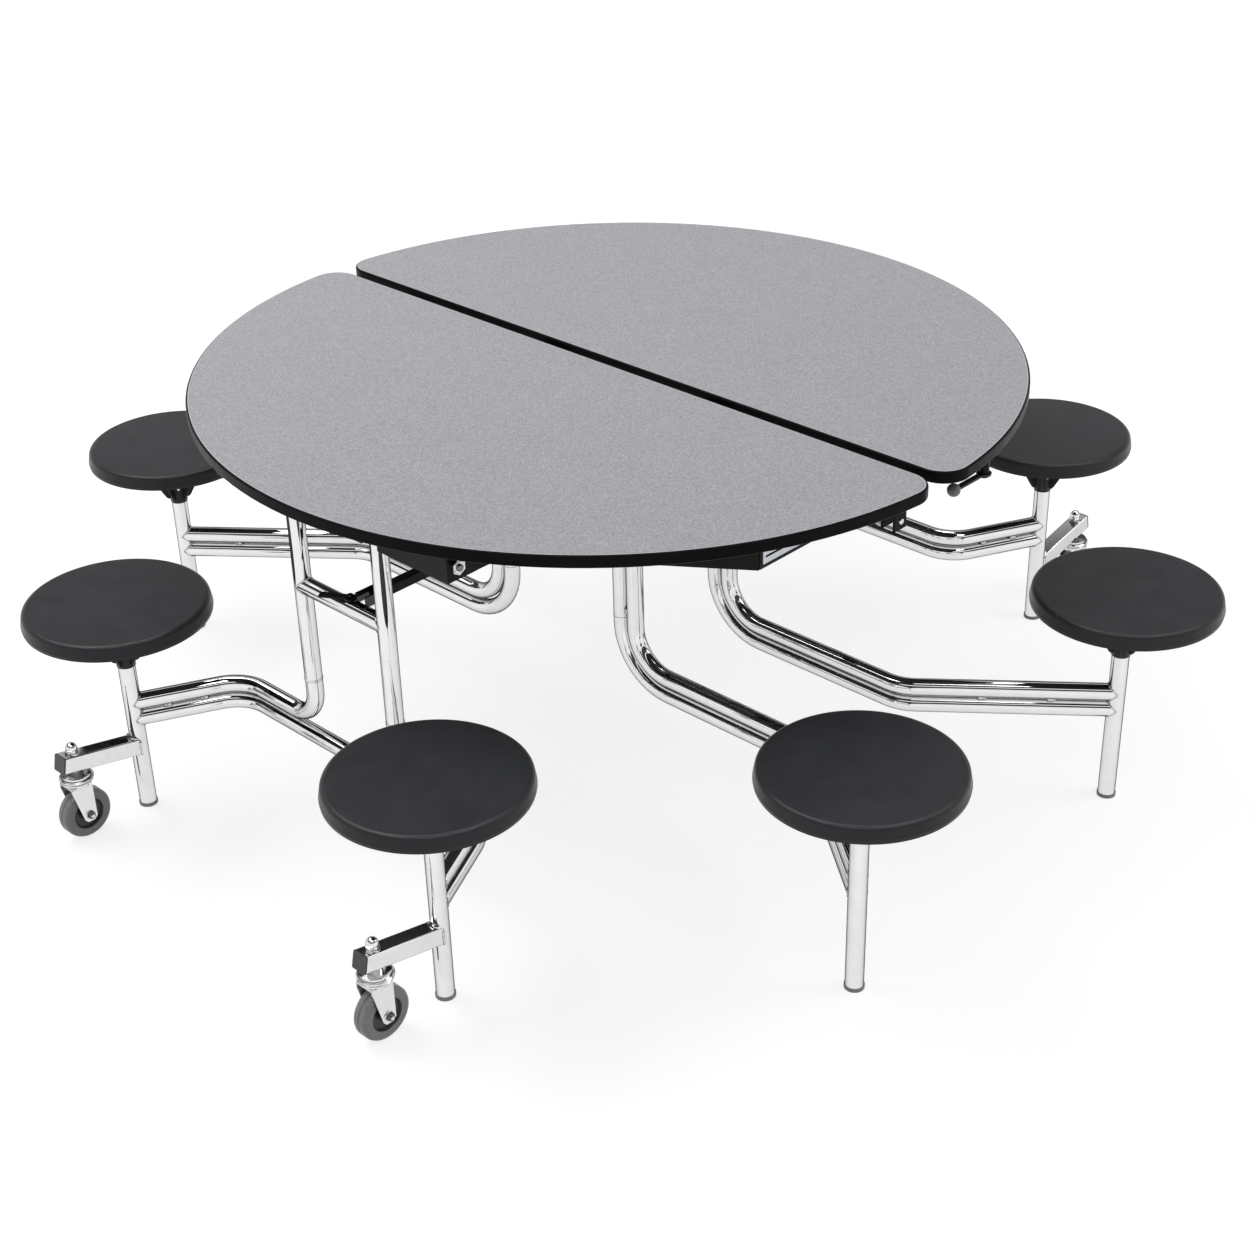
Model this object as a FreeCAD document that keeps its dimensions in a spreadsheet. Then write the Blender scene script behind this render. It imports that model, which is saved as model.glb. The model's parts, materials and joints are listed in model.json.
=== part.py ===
import FreeCAD, Part
import math
import os
import sys

import Sketcher
from FreeCAD import Placement, Rotation, Vector

# Round folding table with eight attached swivel stools, in millimetres.
# Origin on the floor under the centre of the top, +Z up, +X along the seam
# between the two half tops, -Y towards the front half.

doc = FreeCAD.newDocument("folding_stool_table")
sheet = doc.addObject("Spreadsheet::Sheet", "Sizes")

DRIVING_SIZES = {
    # table top
    "top_radius": 762,
    "top_height": 737,
    "top_thickness": 22,
    "laminate_thickness": 1.2,
    "edge_width": 4,
    "edge_round": 3.4,
    "seam_gap": 21,
    "corner_round": 50,
    # stools
    "seat_radius": 169,
    "seat_height": 432,
    "seat_depth": 28,
    "seat_wall": 5,
    "seat_draft": 4,
    "seat_edge_round": 9,
    "hub_wall": 3.4,
    "hub_rib_radius": 28.5,
    "hub_length": 28,
    "bearing_depth": 6,
    "flange_thickness": 2,
    "rib_thickness": 3,
    "rib_count": 6,
    "middle_stool_across": 416,
    "middle_stool_out": 837,
    "seam_stool_across": 897,
    "seam_stool_out": 373,
    # round tube and its bends
    "tube_radius": 15.9,
    "tube_wall": 2,
    "lower_tube_height": 187,
    "tube_clear": 2.4,
    "plan_bend": 80,
    "post_bend": 62,
    "arm_bend": 80,
    # outer frames
    "frame_corner_across": 322,
    "frame_line": 650,
    "post_across": 110,
    "post_top": 698,
    "crossbar_height": 500,
    # centre frame
    "arm_corner_across": 595,
    "arm_line": 130,
    "inner_riser_across": 148,
    "riser_top": 690,
    "yoke_gap": 4.9,
    "yoke_plate_thickness": 6,
    "header_height": 22,
    "header_width": 30,
    "link_bar_side": 24,
    "link_bar_overhang": 12,
    # hinges and links
    "pivot_height": 680,
    "inner_pivot_line": 180,
    "shaft_radius": 8,
    "torsion_bar_radius": 10,
    "torsion_bar_reach": 240,
    "pivot_eye_radius": 25,
    "lug_gap": 7,
    "lug_thickness": 8,
    "link_across": 48,
    "link_pivot_height": 524,
    "link_pivot_offset": 36,
    "link_width": 20,
    "link_depth": 16,
    "link_wall": 2.5,
    "link_pin_radius": 4,
    "ear_thickness": 4,
    "ear_radius": 11,
    "ear_clear": 0.5,
    "shaft_head_flats": 24,
    "shaft_head_height": 7,
    # steel under the tops
    "plate": 3,
    "steel_depth": 60,
    "channel_reach": 300,
    "channel_front": 20,
    "channel_back": 42,
    "apron_across": 636,
    "apron_corner": 312,
    "apron_start": 40,
    "apron_setback": 60,
    "latch_length": 134,
    "latch_low": 9,
    "latch_high": 52,
    "latch_slot_start": 10,
    "latch_slot_end": 70,
    "latch_slot_height": 21,
    "latch_slot_width": 4,
    "latch_eye_place": 84,
    "latch_eye_height": 19,
    "latch_eye_radius": 6.5,
    "latch_notch": 16,
    "bumper_across": 122,
    "bumper_out": 714,
    "bumper_radius": 7,
    "bumper_height": 15,
    # caster arms, which rise outwards from the legs
    "arm_square": 32,
    "arm_wall": 2.5,
    "arm_round": 3,
    "arm_tilt": 12,
    "arm_root_top": 147,
    "arm_reach": 166,
    "cap_flange": 3,
    "cap_spigot": 12,
    # casters
    "stem_reach": 137,
    "stem_radius": 6,
    "collar_radius": 11,
    "collar_thickness": 3,
    "collar_clear": 0.5,
    "washer_radius": 13,
    "washer_thickness": 2.5,
    "nut_flats": 19,
    "nut_height": 9,
    "dome_radius": 8.5,
    "wheel_radius": 48,
    "wheel_width": 30,
    "wheel_lift": 1.5,
    "tread_round": 6,
    "tread_groove": 4,
    "dish_radius": 30,
    "dish_depth": 5,
    "wheel_hub_radius": 12,
    "caster_trail": 4,
    "raceway_radius": 31,
    "race_drop": 13.4,
    "raceway_rim": 4,
    "raceway_wall": 4,
    "crown_drop": 14,
    "crown_thickness": 4,
    "fork_wall": 3,
    "fork_clear": 2.5,
    "fork_eye_radius": 13,
    "axle_radius": 4,
    "bolt_flats": 13,
    "bolt_height": 5,
    # feet
    "glide_height": 6,
    "glide_flange": 1.4,
    "spigot_depth": 16,
    # release levers, each on a shouldered stud
    "lever_side_inset": 37,
    "grip_line": 75,
    "lever_length": 85,
    "lever_width": 11,
    "lever_thickness": 4,
    "lever_hub_radius": 13,
    "grip_radius": 11.5,
    "stud_radius": 5,
    "stud_head_radius": 9,
    "stud_head_height": 3,
    # lock levers on the crossbars
    "lock_across": 20,
    "lock_gap": 2,
    "lock_length": 55,
    "lock_width": 14,
    "lock_hub_radius": 11,
    "lock_rise": 5,
    "lock_angle": 30,
    # clearances
    "running_gap": 0.3,
    "weld_gap": 0.3,
}


class Size:
    """A length or an angle: its value, and the sheet expression that gives it."""

    def __init__(self, value, text):
        self.value = float(value)
        self.text = text

    def join(self, other, sign, value):
        return Size(value, f"({self.text} {sign} {other.text})")

    def __add__(self, other):
        other = as_size(other)
        return self.join(other, "+", self.value + other.value)

    def __sub__(self, other):
        other = as_size(other)
        return self.join(other, "-", self.value - other.value)

    def __mul__(self, other):
        other = as_size(other)
        return self.join(other, "*", self.value * other.value)

    def __truediv__(self, other):
        other = as_size(other)
        return self.join(other, "/", self.value / other.value)

    def __neg__(self):
        return as_size(-1) * self

    __radd__ = __add__
    __rmul__ = __mul__


def as_size(amount):
    return amount if isinstance(amount, Size) else Size(amount, repr(float(amount)))


def root(amount):
    return Size(math.sqrt(amount.value), f"sqrt({amount.text})")


class Sheet:
    """The driving sizes by name, each read back as a Size."""


for row, (alias, number) in enumerate(DRIVING_SIZES.items(), start=1):
    sheet.set(f"A{row}", alias)
    sheet.set(f"B{row}", str(number))
    sheet.setAlias(f"B{row}", alias)
    setattr(Sheet, alias, Size(number, f"Sizes.{alias}"))
doc.recompute()
S = Sheet

# Heights and places that follow from the driving sizes.
tube_spacing = S.tube_radius * 2 + S.tube_clear
upper_tube_height = S.lower_tube_height + tube_spacing
top_underside = S.top_height - S.top_thickness
steel_bottom = top_underside - S.steel_depth
laminate_bottom = S.top_height - S.laminate_thickness
seat_bottom = S.seat_height - S.seat_depth
hub_bottom = seat_bottom - S.hub_length
bearing_top = seat_bottom - S.bearing_depth
leg_top = bearing_top - S.flange_thickness
outer_riser_across = S.inner_riser_across + tube_spacing
yoke_inside = outer_riser_across + S.tube_radius + S.yoke_gap
lug_across = yoke_inside + S.yoke_plate_thickness + S.lug_gap
caster_line = S.middle_stool_out + S.stem_reach
cos_tilt = Size(math.cos(math.radians(S.arm_tilt.value)), "cos(Sizes.arm_tilt)")
sin_tilt = Size(math.sin(math.radians(S.arm_tilt.value)), "sin(Sizes.arm_tilt)")
arm_underside = S.arm_root_top + (S.stem_reach * sin_tilt - S.arm_square) / cos_tilt
raceway_top = arm_underside - S.race_drop
crown_top = raceway_top - S.crown_drop
axle_height = S.wheel_radius + S.wheel_lift
cope_radius = S.tube_radius + S.weld_gap
hub_bore = S.tube_radius + S.running_gap
hub_radius = hub_bore + S.hub_wall
apron_end = S.frame_line - S.channel_back - S.apron_setback
link_length = S.frame_line - S.inner_pivot_line
stud_bore = S.stud_radius + S.running_gap
lever_across = S.top_radius - S.lever_side_inset
lever_pivot_out = S.grip_line + S.lever_length
lock_blade_z = S.crossbar_height + S.tube_radius + S.lock_gap
frame_leg = (S.middle_stool_across, S.middle_stool_out)
frame_corner = (S.frame_corner_across, S.frame_line)
arm_leg = (S.seam_stool_across, S.seam_stool_out)
arm_corner = (S.arm_corner_across, S.arm_line)


def new(kind, name):
    return doc.addObject(kind, name)


def bind(obj, **amounts):
    """Tie an object's sizes to the sheet."""
    for prop, amount in amounts.items():
        obj.setExpression(prop, as_size(amount).text)
    return obj


def place(obj, x=0, y=0, z=0, axis=(0, 0, 1), angle=0):
    """Turn an object about an axis, then put its origin at x, y, z from the sheet."""
    obj.Placement = Placement(Vector(0, 0, 0), Rotation(Vector(*axis), angle))
    for letter, amount in (("x", x), ("y", y), ("z", z)):
        obj.setExpression(f"Placement.Base.{letter}", as_size(amount).text)
    return obj


def box(name, low, high):
    """A box between two corners."""
    solid = new("Part::Box", name)
    spans = [as_size(b) - as_size(a) for a, b in zip(low, high)]
    bind(solid, Length=spans[0], Width=spans[1], Height=spans[2])
    return place(solid, *low)


TURN_FROM_Z = {"x": ((0, 1, 0), 90), "y": ((1, 0, 0), -90), "z": ((0, 0, 1), 0)}


def rod(name, radius, start, length, along="z"):
    """A cylinder from a point, along +X, +Y or +Z."""
    solid = new("Part::Cylinder", name)
    bind(solid, Radius=radius, Height=length)
    axis, angle = TURN_FROM_Z[along]
    return place(solid, *start, axis=axis, angle=angle)


def hexagon(name, across_flats, start, length, along="x"):
    """A hexagonal head from a point, along +X, +Y or +Z."""
    solid = new("Part::Prism", name)
    solid.Polygon = 6
    bind(solid, Circumradius=as_size(across_flats) / 1.7320508, Height=length)
    axis, angle = TURN_FROM_Z[along]
    return place(solid, *start, axis=axis, angle=angle)


def cut(name, base, *tools):
    tool = tools[0] if len(tools) == 1 else fuse(f"{name}_tools", *tools)
    solid = new("Part::Cut", name)
    solid.Base = base
    solid.Tool = tool
    return solid


def fuse(name, *shapes):
    solid = new("Part::MultiFuse", name)
    solid.Shapes = list(shapes)
    return solid


def group(name, *pieces):
    """Several solids that make one named sub-part."""
    solid = new("Part::Compound", name)
    solid.Links = list(pieces)
    return solid


def mirrored(name, piece, across):
    """The mirror image of a piece across the plane x = 0 or y = 0."""
    image = new("Part::Mirroring", name)
    image.Source = piece
    image.Base = Vector(0, 0, 0)
    image.Normal = Vector(1, 0, 0) if across == "x" else Vector(0, 1, 0)
    return image


def both_sides(name, piece, across="x"):
    return group(name, piece, mirrored(f"{name}_image", piece, across))


# --- PartDesign helpers -------------------------------------------------------


def new_body(name):
    return new("PartDesign::Body", name)


def sketch_in(body, plane, corners, name):
    """A closed outline of straight lines, each corner fixed by two sizes of zero or more."""
    sketch = body.newObject("Sketcher::SketchObject", name)
    origin_plane = [f for f in body.Origin.OriginFeatures if f.Role == plane][0]
    sketch.AttachmentSupport = [(origin_plane, "")]
    sketch.MapMode = "FlatFace"
    corners = [(as_size(x), as_size(y)) for x, y in corners]
    points = [Vector(x.value, y.value, 0) for x, y in corners]
    count = len(points)
    for i in range(count):
        sketch.addGeometry(Part.LineSegment(points[i], points[(i + 1) % count]), False)
    for i in range(count):
        sketch.addConstraint(Sketcher.Constraint("Coincident", i, 2, (i + 1) % count, 1))
    for i, (x, y) in enumerate(corners):
        fix_corner(sketch, i, x, "DistanceX", -2)
        fix_corner(sketch, i, y, "DistanceY", -1)
    return sketch


def fix_corner(sketch, line, amount, kind, axis):
    """Fix one coordinate of a line's first end, on the axis where it is zero."""
    if abs(amount.value) < 1e-9:
        sketch.addConstraint(Sketcher.Constraint("PointOnObject", line, 1, axis))
        return
    index = sketch.addConstraint(
        Sketcher.Constraint(kind, -1, 1, line, 1, amount.value)
    )
    sketch.setExpression(f"Constraints[{index}]", amount.text)


def pad(body, sketch, length, name, centred=False):
    feature = body.newObject("PartDesign::Pad", name)
    feature.Profile = sketch
    feature.Midplane = centred
    return bind(feature, Length=length)


def revolve(body, corners, name):
    """A solid of revolution about the body's Z axis from a radius-height outline."""
    sketch = sketch_in(body, "XZ_Plane", corners, f"{name}_profile")
    feature = body.newObject("PartDesign::Revolution", name)
    feature.Profile = sketch
    feature.ReferenceAxis = (sketch, ["V_Axis"])
    feature.Angle = 360
    return feature


def fillet(body, base, radius, test, name):
    """Round the edges of a feature that pass a test."""
    doc.recompute()
    edges = [f"Edge{i}" for i, e in enumerate(base.Shape.Edges, start=1) if test(e)]
    feature = body.newObject("PartDesign::Fillet", name)
    feature.Base = (base, edges)
    return bind(feature, Radius=radius)


def circle_at(radius, height):
    """A test for circular edges of a radius at a height in the body's own frame."""

    def test(edge):
        curve = edge.Curve
        if not isinstance(curve, Part.Circle):
            return False
        same_radius = abs(curve.Radius - as_size(radius).value) < 0.01
        return same_radius and abs(curve.Center.z - as_size(height).value) < 0.01

    return test


def edges_along(direction):
    def test(edge):
        if len(edge.Vertexes) < 2:
            return False
        span = edge.Vertexes[1].Point - edge.Vertexes[0].Point
        return abs(abs(span.normalize().dot(Vector(*direction))) - 1) < 1e-6

    return test


# --- bent tubes ---------------------------------------------------------------


def bent_line(name, points, radii):
    """A path of straight runs joined by tangent arcs at its inner points."""
    points = [Vector(*(as_size(c).value for c in p)) for p in points]
    edges = []
    start = points[0]
    for before, corner, after, radius in zip(points, points[1:], points[2:], radii):
        towards = (corner - before).normalize()
        away = (after - corner).normalize()
        turn = towards.getAngle(away)
        setback = as_size(radius).value * math.tan(turn / 2)
        arc_start = corner - towards * setback
        arc_end = corner + away * setback
        inward = (away - towards).normalize()
        rise = as_size(radius).value * (1 / math.cos(turn / 2) - 1)
        edges.append(Part.LineSegment(start, arc_start).toShape())
        edges.append(Part.Arc(arc_start, corner + inward * rise, arc_end).toShape())
        start = arc_end
    edges.append(Part.LineSegment(start, points[-1]).toShape())
    path = new("Part::Feature", name)
    path.Shape = Part.Wire(edges)
    return path


def bent_tube(name, points, radii):
    """A round tube of the common size swept along a bent line."""
    path = bent_line(f"{name}_path", points, radii)
    section = new("Part::Circle", f"{name}_section")
    bind(section, Radius=S.tube_radius)
    first = path.Shape.Edges[0]
    heading = first.tangentAt(first.FirstParameter)
    section.Placement = Placement(first.valueAt(first.FirstParameter),
                                  Rotation(Vector(0, 0, 1), heading))
    tube = new("Part::Sweep", name)
    tube.Sections = [section]
    tube.Spine = (path, [f"Edge{i + 1}" for i in range(len(path.Shape.Edges))])
    tube.Solid = True
    tube.Frenet = False
    return tube


def coped(name, tube, x, y):
    """A tube's end shaped to the upright leg that it is welded to."""
    leg = rod(f"{name}_cope", cope_radius, (x, y, 0), S.seat_height)
    return cut(name, tube, leg)


# --- table tops ---------------------------------------------------------------


def half_disc(name, inset, low, high):
    """A half-round slab whose edge lies inset from the finished edge of the top."""
    radius = S.top_radius - inset
    seam = S.seam_gap / 2 + inset
    corner = S.corner_round - inset
    centre_out = seam + corner
    centre_across = root((radius - corner) * (radius - corner) - centre_out * centre_out)
    reach = radius / (radius - corner)
    rim_across = centre_across * reach
    rim_out = centre_out * reach

    body = new_body(name)
    sketch = body.newObject("Sketcher::SketchObject", f"{name}_outline")
    flat = [f for f in body.Origin.OriginFeatures if f.Role == "XY_Plane"][0]
    sketch.AttachmentSupport = [(flat, "")]
    sketch.MapMode = "FlatFace"

    def arc(cx, cy, r, from_deg, to_deg):
        circle = Part.Circle(Vector(cx, cy, 0), Vector(0, 0, 1), r)
        return Part.ArcOfCircle(circle, math.radians(from_deg), math.radians(to_deg))

    slope = math.degrees(math.atan2(rim_out.value, rim_across.value))
    cx, cy = centre_across.value, centre_out.value
    sketch.addGeometry(arc(0, 0, radius.value, slope, 180 - slope), False)
    sketch.addGeometry(arc(-cx, cy, corner.value, 180 - slope, 270), False)
    seam_line = Part.LineSegment(Vector(-cx, seam.value, 0), Vector(cx, seam.value, 0))
    sketch.addGeometry(seam_line, False)
    sketch.addGeometry(arc(cx, cy, corner.value, -90, slope), False)
    rim, left, line, right = range(4)
    add = sketch.addConstraint
    add(Sketcher.Constraint("Tangent", rim, 2, left, 1))
    add(Sketcher.Constraint("Tangent", left, 2, line, 1))
    add(Sketcher.Constraint("Tangent", line, 2, right, 1))
    add(Sketcher.Constraint("Tangent", right, 2, rim, 1))
    add(Sketcher.Constraint("Coincident", rim, 3, -1, 1))
    add(Sketcher.Constraint("Horizontal", line))
    for kind, geometry, amount in (
        ("Radius", (rim,), radius),
        ("Radius", (left,), corner),
        ("Radius", (right,), corner),
        ("DistanceY", (-1, 1, line, 1), seam),
    ):
        index = add(Sketcher.Constraint(kind, *geometry, amount.value))
        sketch.setExpression(f"Constraints[{index}]", amount.text)
    slab = pad(body, sketch, high - low, f"{name}_slab")
    place(body, 0, 0, low)
    return body, slab


def flat_face_edges(height):
    """A test for the edges that lie in a level face."""

    def test(edge):
        span = edge.BoundBox
        return abs(span.ZMin - height) < 0.01 and abs(span.ZMax - height) < 0.01

    return test


def edge_band():
    """The moulded band round a half top, with both rims rounded."""
    body, slab = half_disc("band_outer", as_size(0), top_underside, S.top_height)
    upper = fillet(body, slab, S.edge_round,
                   flat_face_edges(S.top_thickness.value), "band_upper_round")
    fillet(body, upper, S.edge_round, flat_face_edges(0), "band_lower_round")
    inner, _ = half_disc("band_inner", S.edge_width, top_underside - 1, S.top_height + 1)
    return cut("band", body, inner)


def pivot_channel():
    """The inverted channel that carries a half top on the frame's pivot shaft."""
    low_y = S.frame_line - S.channel_back
    high_y = S.frame_line + S.channel_front
    outer = box("channel_outer", (-S.channel_reach, low_y, steel_bottom),
                (S.channel_reach, high_y, top_underside))
    inside = S.channel_reach - S.plate
    inner = box("channel_inner", (-inside, low_y + S.plate, steel_bottom - 1),
                (inside, high_y - S.plate, top_underside - S.plate))
    tools = [inner, rod("channel_bore", S.shaft_radius + S.running_gap,
                        (-S.channel_reach - 1, S.frame_line, S.pivot_height),
                        S.channel_reach * 2 + 2, "x")]
    notch_half = S.tube_radius + 4
    notch_top = S.pivot_height + S.tube_radius + 5
    for side in (-1, 1):
        centre = S.post_across * side
        tools.append(box("channel_notch", (centre - notch_half, high_y - S.plate - 1, steel_bottom - 1),
                         (centre + notch_half, high_y + 1, notch_top)))
    return cut("channel", outer, *tools)


def upright_plate(name, start, end, low, high):
    """A flat plate on edge between two places in plan, inside the line that joins them."""
    run_x = end[0] - start[0]
    run_y = end[1] - start[1]
    length = root(run_x * run_x + run_y * run_y)
    solid = new("Part::Box", name)
    bind(solid, Length=length, Width=S.plate, Height=high - low)
    turn = math.degrees(math.atan2(run_y.value, run_x.value))
    return place(solid, start[0], start[1], low, angle=turn)


def apron():
    """Steel skirt plates under a half top: one beside each stool arm, one slanting to the channel."""
    side = box("apron_side", (S.apron_across - S.plate, S.apron_start, steel_bottom),
               (S.apron_across, S.apron_corner, top_underside))
    slant = upright_plate("apron_slant", (S.apron_across, S.apron_corner + S.plate),
                          (S.channel_reach + 1, apron_end), steel_bottom, top_underside)
    one_side = group("apron_side_set", side, slant)
    return both_sides("apron", one_side)


def hinge_lugs():
    """Two ears under a half top that ride on the centre frame's torsion bar."""
    ear = fuse(
        "lug_ear",
        box("lug_strap", (lug_across, S.inner_pivot_line - S.pivot_eye_radius, S.pivot_height),
            (lug_across + S.lug_thickness, S.inner_pivot_line + S.pivot_eye_radius, top_underside)),
        rod("lug_eye", S.pivot_eye_radius, (lug_across, S.inner_pivot_line, S.pivot_height),
            S.lug_thickness, "x"),
    )
    bored = cut("lug", ear, rod("lug_bore", S.torsion_bar_radius + S.running_gap,
                                (lug_across - 1, S.inner_pivot_line, S.pivot_height),
                                S.lug_thickness + 2, "x"))
    return both_sides("lugs", bored)


def latch_plates():
    """Pressed latch plates on the outer faces of the skirt: slot, eye and open notch."""
    near = S.apron_corner - 4
    low = steel_bottom + S.latch_low
    outside = S.apron_across + S.plate
    plate = box("latch_plate", (S.apron_across, S.apron_corner - S.latch_length, low),
                (outside, near, steel_bottom + S.latch_high))
    slot_middle = steel_bottom + S.latch_slot_height
    slot_half = S.latch_slot_width / 2
    slot = box("latch_slot", (S.apron_across - 1, S.apron_corner - S.latch_slot_end, slot_middle - slot_half),
               (outside + 1, S.apron_corner - S.latch_slot_start, slot_middle + slot_half))
    eye = rod("latch_eye", S.latch_eye_radius,
              (S.apron_across - 1, S.apron_corner - S.latch_eye_place, steel_bottom + S.latch_eye_height),
              S.plate + 2, "x")
    notch_y = S.apron_corner - S.latch_length
    notch = box("latch_notch", (S.apron_across - 1, notch_y - 1, low + S.latch_notch / 2),
                (outside + 1, notch_y + S.latch_notch, low + S.latch_notch))
    return both_sides("latches", cut("latch", plate, slot, eye, notch))


def bumper():
    """A round rubber stop under the rim of a half top, on one side only."""
    low = top_underside - S.bumper_height
    stop = rod("bumper_stop", S.bumper_radius, (-S.bumper_across, S.bumper_out, low + S.bumper_radius),
               S.bumper_height - S.bumper_radius)
    tip = new("Part::Sphere", "bumper_tip")
    bind(tip, Radius=S.bumper_radius)
    place(tip, -S.bumper_across, S.bumper_out, low + S.bumper_radius)
    return fuse("bumper", stop, tip)


def release_lever():
    """The hand lever under a seam corner: a round grip on a flat bar that turns on a stud."""
    bar_z = S.pivot_height - S.lever_thickness / 2
    half_width = S.lever_width / 2
    bar = box("lever_bar", (lever_across - half_width, S.grip_line, bar_z),
              (lever_across + half_width, lever_pivot_out, bar_z + S.lever_thickness))
    hub = rod("lever_hub", S.lever_hub_radius, (lever_across, lever_pivot_out, bar_z), S.lever_thickness)
    bore = rod("lever_bore", stud_bore, (lever_across, lever_pivot_out, bar_z - 1), S.lever_thickness + 2)
    grip = new("Part::Sphere", "lever_grip")
    bind(grip, Radius=S.grip_radius)
    place(grip, lever_across, S.grip_line, S.pivot_height)
    return cut("lever", fuse("lever_blank", bar, hub, grip), bore)


def lever_stud():
    """The shouldered stud that hangs the release lever from the half top."""
    half_gap = S.lever_thickness / 2 + S.running_gap
    head_z = S.pivot_height - half_gap - S.stud_head_height
    collar_z = S.pivot_height + half_gap
    shank = rod("stud_shank", S.stud_radius, (lever_across, lever_pivot_out, head_z), top_underside - head_z)
    head = rod("stud_head", S.stud_head_radius, (lever_across, lever_pivot_out, head_z), S.stud_head_height)
    collar = rod("stud_collar", S.stud_head_radius, (lever_across, lever_pivot_out, collar_z),
                 top_underside - collar_z)
    return fuse("stud", shank, head, collar)


# --- outer frames -------------------------------------------------------------


def at_height(places, height):
    return [(x, y, height) for x, y in places]


def base_tube():
    """The lower tube of an outer frame, in one length from leg to leg."""
    half = [frame_leg, frame_corner]
    other = [(-frame_corner[0], frame_corner[1]), (-frame_leg[0], frame_leg[1])]
    tube = bent_tube("base_blank", at_height(half + other, S.lower_tube_height),
                     [S.plan_bend, S.plan_bend])
    one_end = coped("base_one_end", tube, frame_leg[0], frame_leg[1])
    return coped("base", one_end, -frame_leg[0], frame_leg[1])


def post_tubes():
    """The two upper tubes, which turn up into posts, and the crossbar between them."""
    plan = at_height([frame_leg, frame_corner, (S.post_across, S.frame_line)], upper_tube_height)
    path = plan + [(S.post_across, S.frame_line, S.post_top)]
    tube = bent_tube("post_blank", path, [S.plan_bend, S.post_bend])
    trimmed = coped("post_trimmed", tube, *frame_leg)
    bore = rod("post_bore", S.shaft_radius + S.weld_gap,
               (S.post_across - S.tube_radius - 1, S.frame_line, S.pivot_height), S.tube_radius * 2 + 2, "x")
    bored = cut("post", trimmed, bore)
    bar = rod("crossbar_blank", S.tube_radius, (-S.post_across, S.frame_line, S.crossbar_height),
              S.post_across * 2, "x")
    trims = [rod("crossbar_trim", cope_radius,
                 (S.post_across * side, S.frame_line, S.crossbar_height - S.tube_radius - 1),
                 S.tube_radius * 2 + 2) for side in (-1, 1)]
    crossbar = cut("crossbar_tube", bar, *trims)
    # Seen from the rear half, the link of this frame lies on the -X side.
    bracket = link_ears("frame_ears", -S.link_across, S.frame_line, S.frame_line - S.link_pivot_offset)
    stud = rod("lock_stud", S.stud_radius, (-S.lock_across, S.frame_line, S.crossbar_height),
               lock_blade_z + S.lever_thickness + S.lock_rise - S.crossbar_height)
    return group("posts", bored, mirrored("post_image", bored, "x"),
                 fuse("crossbar", crossbar, bracket, stud))


def link_ears(name, across, root_y, pivot_y):
    """Two ears and a hex-headed pin that hold the end of a link."""
    inner = S.link_width / 2 + S.ear_clear
    outer = inner + S.ear_thickness
    low_y, high_y = sorted((root_y, pivot_y), key=lambda amount: amount.value)
    height = S.link_pivot_height
    ears = []
    for side in (-1, 1):
        low_x = across + (inner if side > 0 else -outer)
        ears.append(box(f"{name}_strap", (low_x, low_y, height - S.ear_radius),
                        (low_x + S.ear_thickness, high_y, height + S.ear_radius)))
        ears.append(rod(f"{name}_eye", S.ear_radius, (low_x, pivot_y, height), S.ear_thickness, "x"))
    pin = rod(f"{name}_pin", S.link_pin_radius, (across - outer, pivot_y, height), outer * 2, "x")
    head = hexagon(f"{name}_pin_head", S.bolt_flats, (across + outer, pivot_y, height), S.bolt_height)
    nut = hexagon(f"{name}_pin_nut", S.bolt_flats, (across - outer - S.bolt_height, pivot_y, height),
                  S.bolt_height)
    return fuse(name, *ears, pin, head, nut)


def upright_leg(name, x, y):
    """A leg: straight hollow tube from the glide to the seat bearing."""
    wall = rod(f"{name}_outside", S.tube_radius, (x, y, S.glide_height), leg_top - S.glide_height)
    bore = rod(f"{name}_inside", S.tube_radius - S.tube_wall, (x, y, S.glide_height - 1),
               leg_top - S.glide_height + 2)
    return cut(name, wall, bore)


def leg_plug(name, x, y):
    """The glide in the foot of a leg and the nylon bearing in its head, two solids."""
    snug = S.tube_radius - S.tube_wall - S.weld_gap
    glide = fuse(f"{name}_glide",
                 rod(f"{name}_foot", S.tube_radius + S.glide_flange, (x, y, 0), S.glide_height),
                 rod(f"{name}_foot_spigot", snug, (x, y, 0), S.glide_height + S.spigot_depth))
    bearing = fuse(f"{name}_bearing",
                   rod(f"{name}_flange", S.tube_radius, (x, y, leg_top), S.flange_thickness),
                   rod(f"{name}_head_spigot", snug, (x, y, leg_top - S.spigot_depth),
                       S.spigot_depth + S.flange_thickness / 2))
    return group(name, glide, bearing)


def on_arm(along, above):
    """The Y and Z of a place given along the arm from its leg and above the arm's top face."""
    y = S.middle_stool_out + along * cos_tilt - above * sin_tilt
    return y, S.arm_root_top + along * sin_tilt + above * cos_tilt


def square_bar(name, side, start, end, corner_round):
    """A square bar with rounded long edges, lying in the arm's slope under its top face."""
    body = new_body(name)
    outline = sketch_in(body, "XY_Plane", [(0, 0), (side, 0), (side, side), (0, side)], f"{name}_outline")
    solid = pad(body, outline, end - start, f"{name}_pad")
    fillet(body, solid, corner_round, edges_along((0, 0, 1)), f"{name}_round")
    inset = (S.arm_square - side) / 2
    y, z = on_arm(start, -inset)
    # The pad's Z runs outwards along the arm and its Y runs down.
    return place(body, S.middle_stool_across - side / 2, y, z, axis=(1, 0, 0),
                 angle=S.arm_tilt.value - 90)


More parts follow.
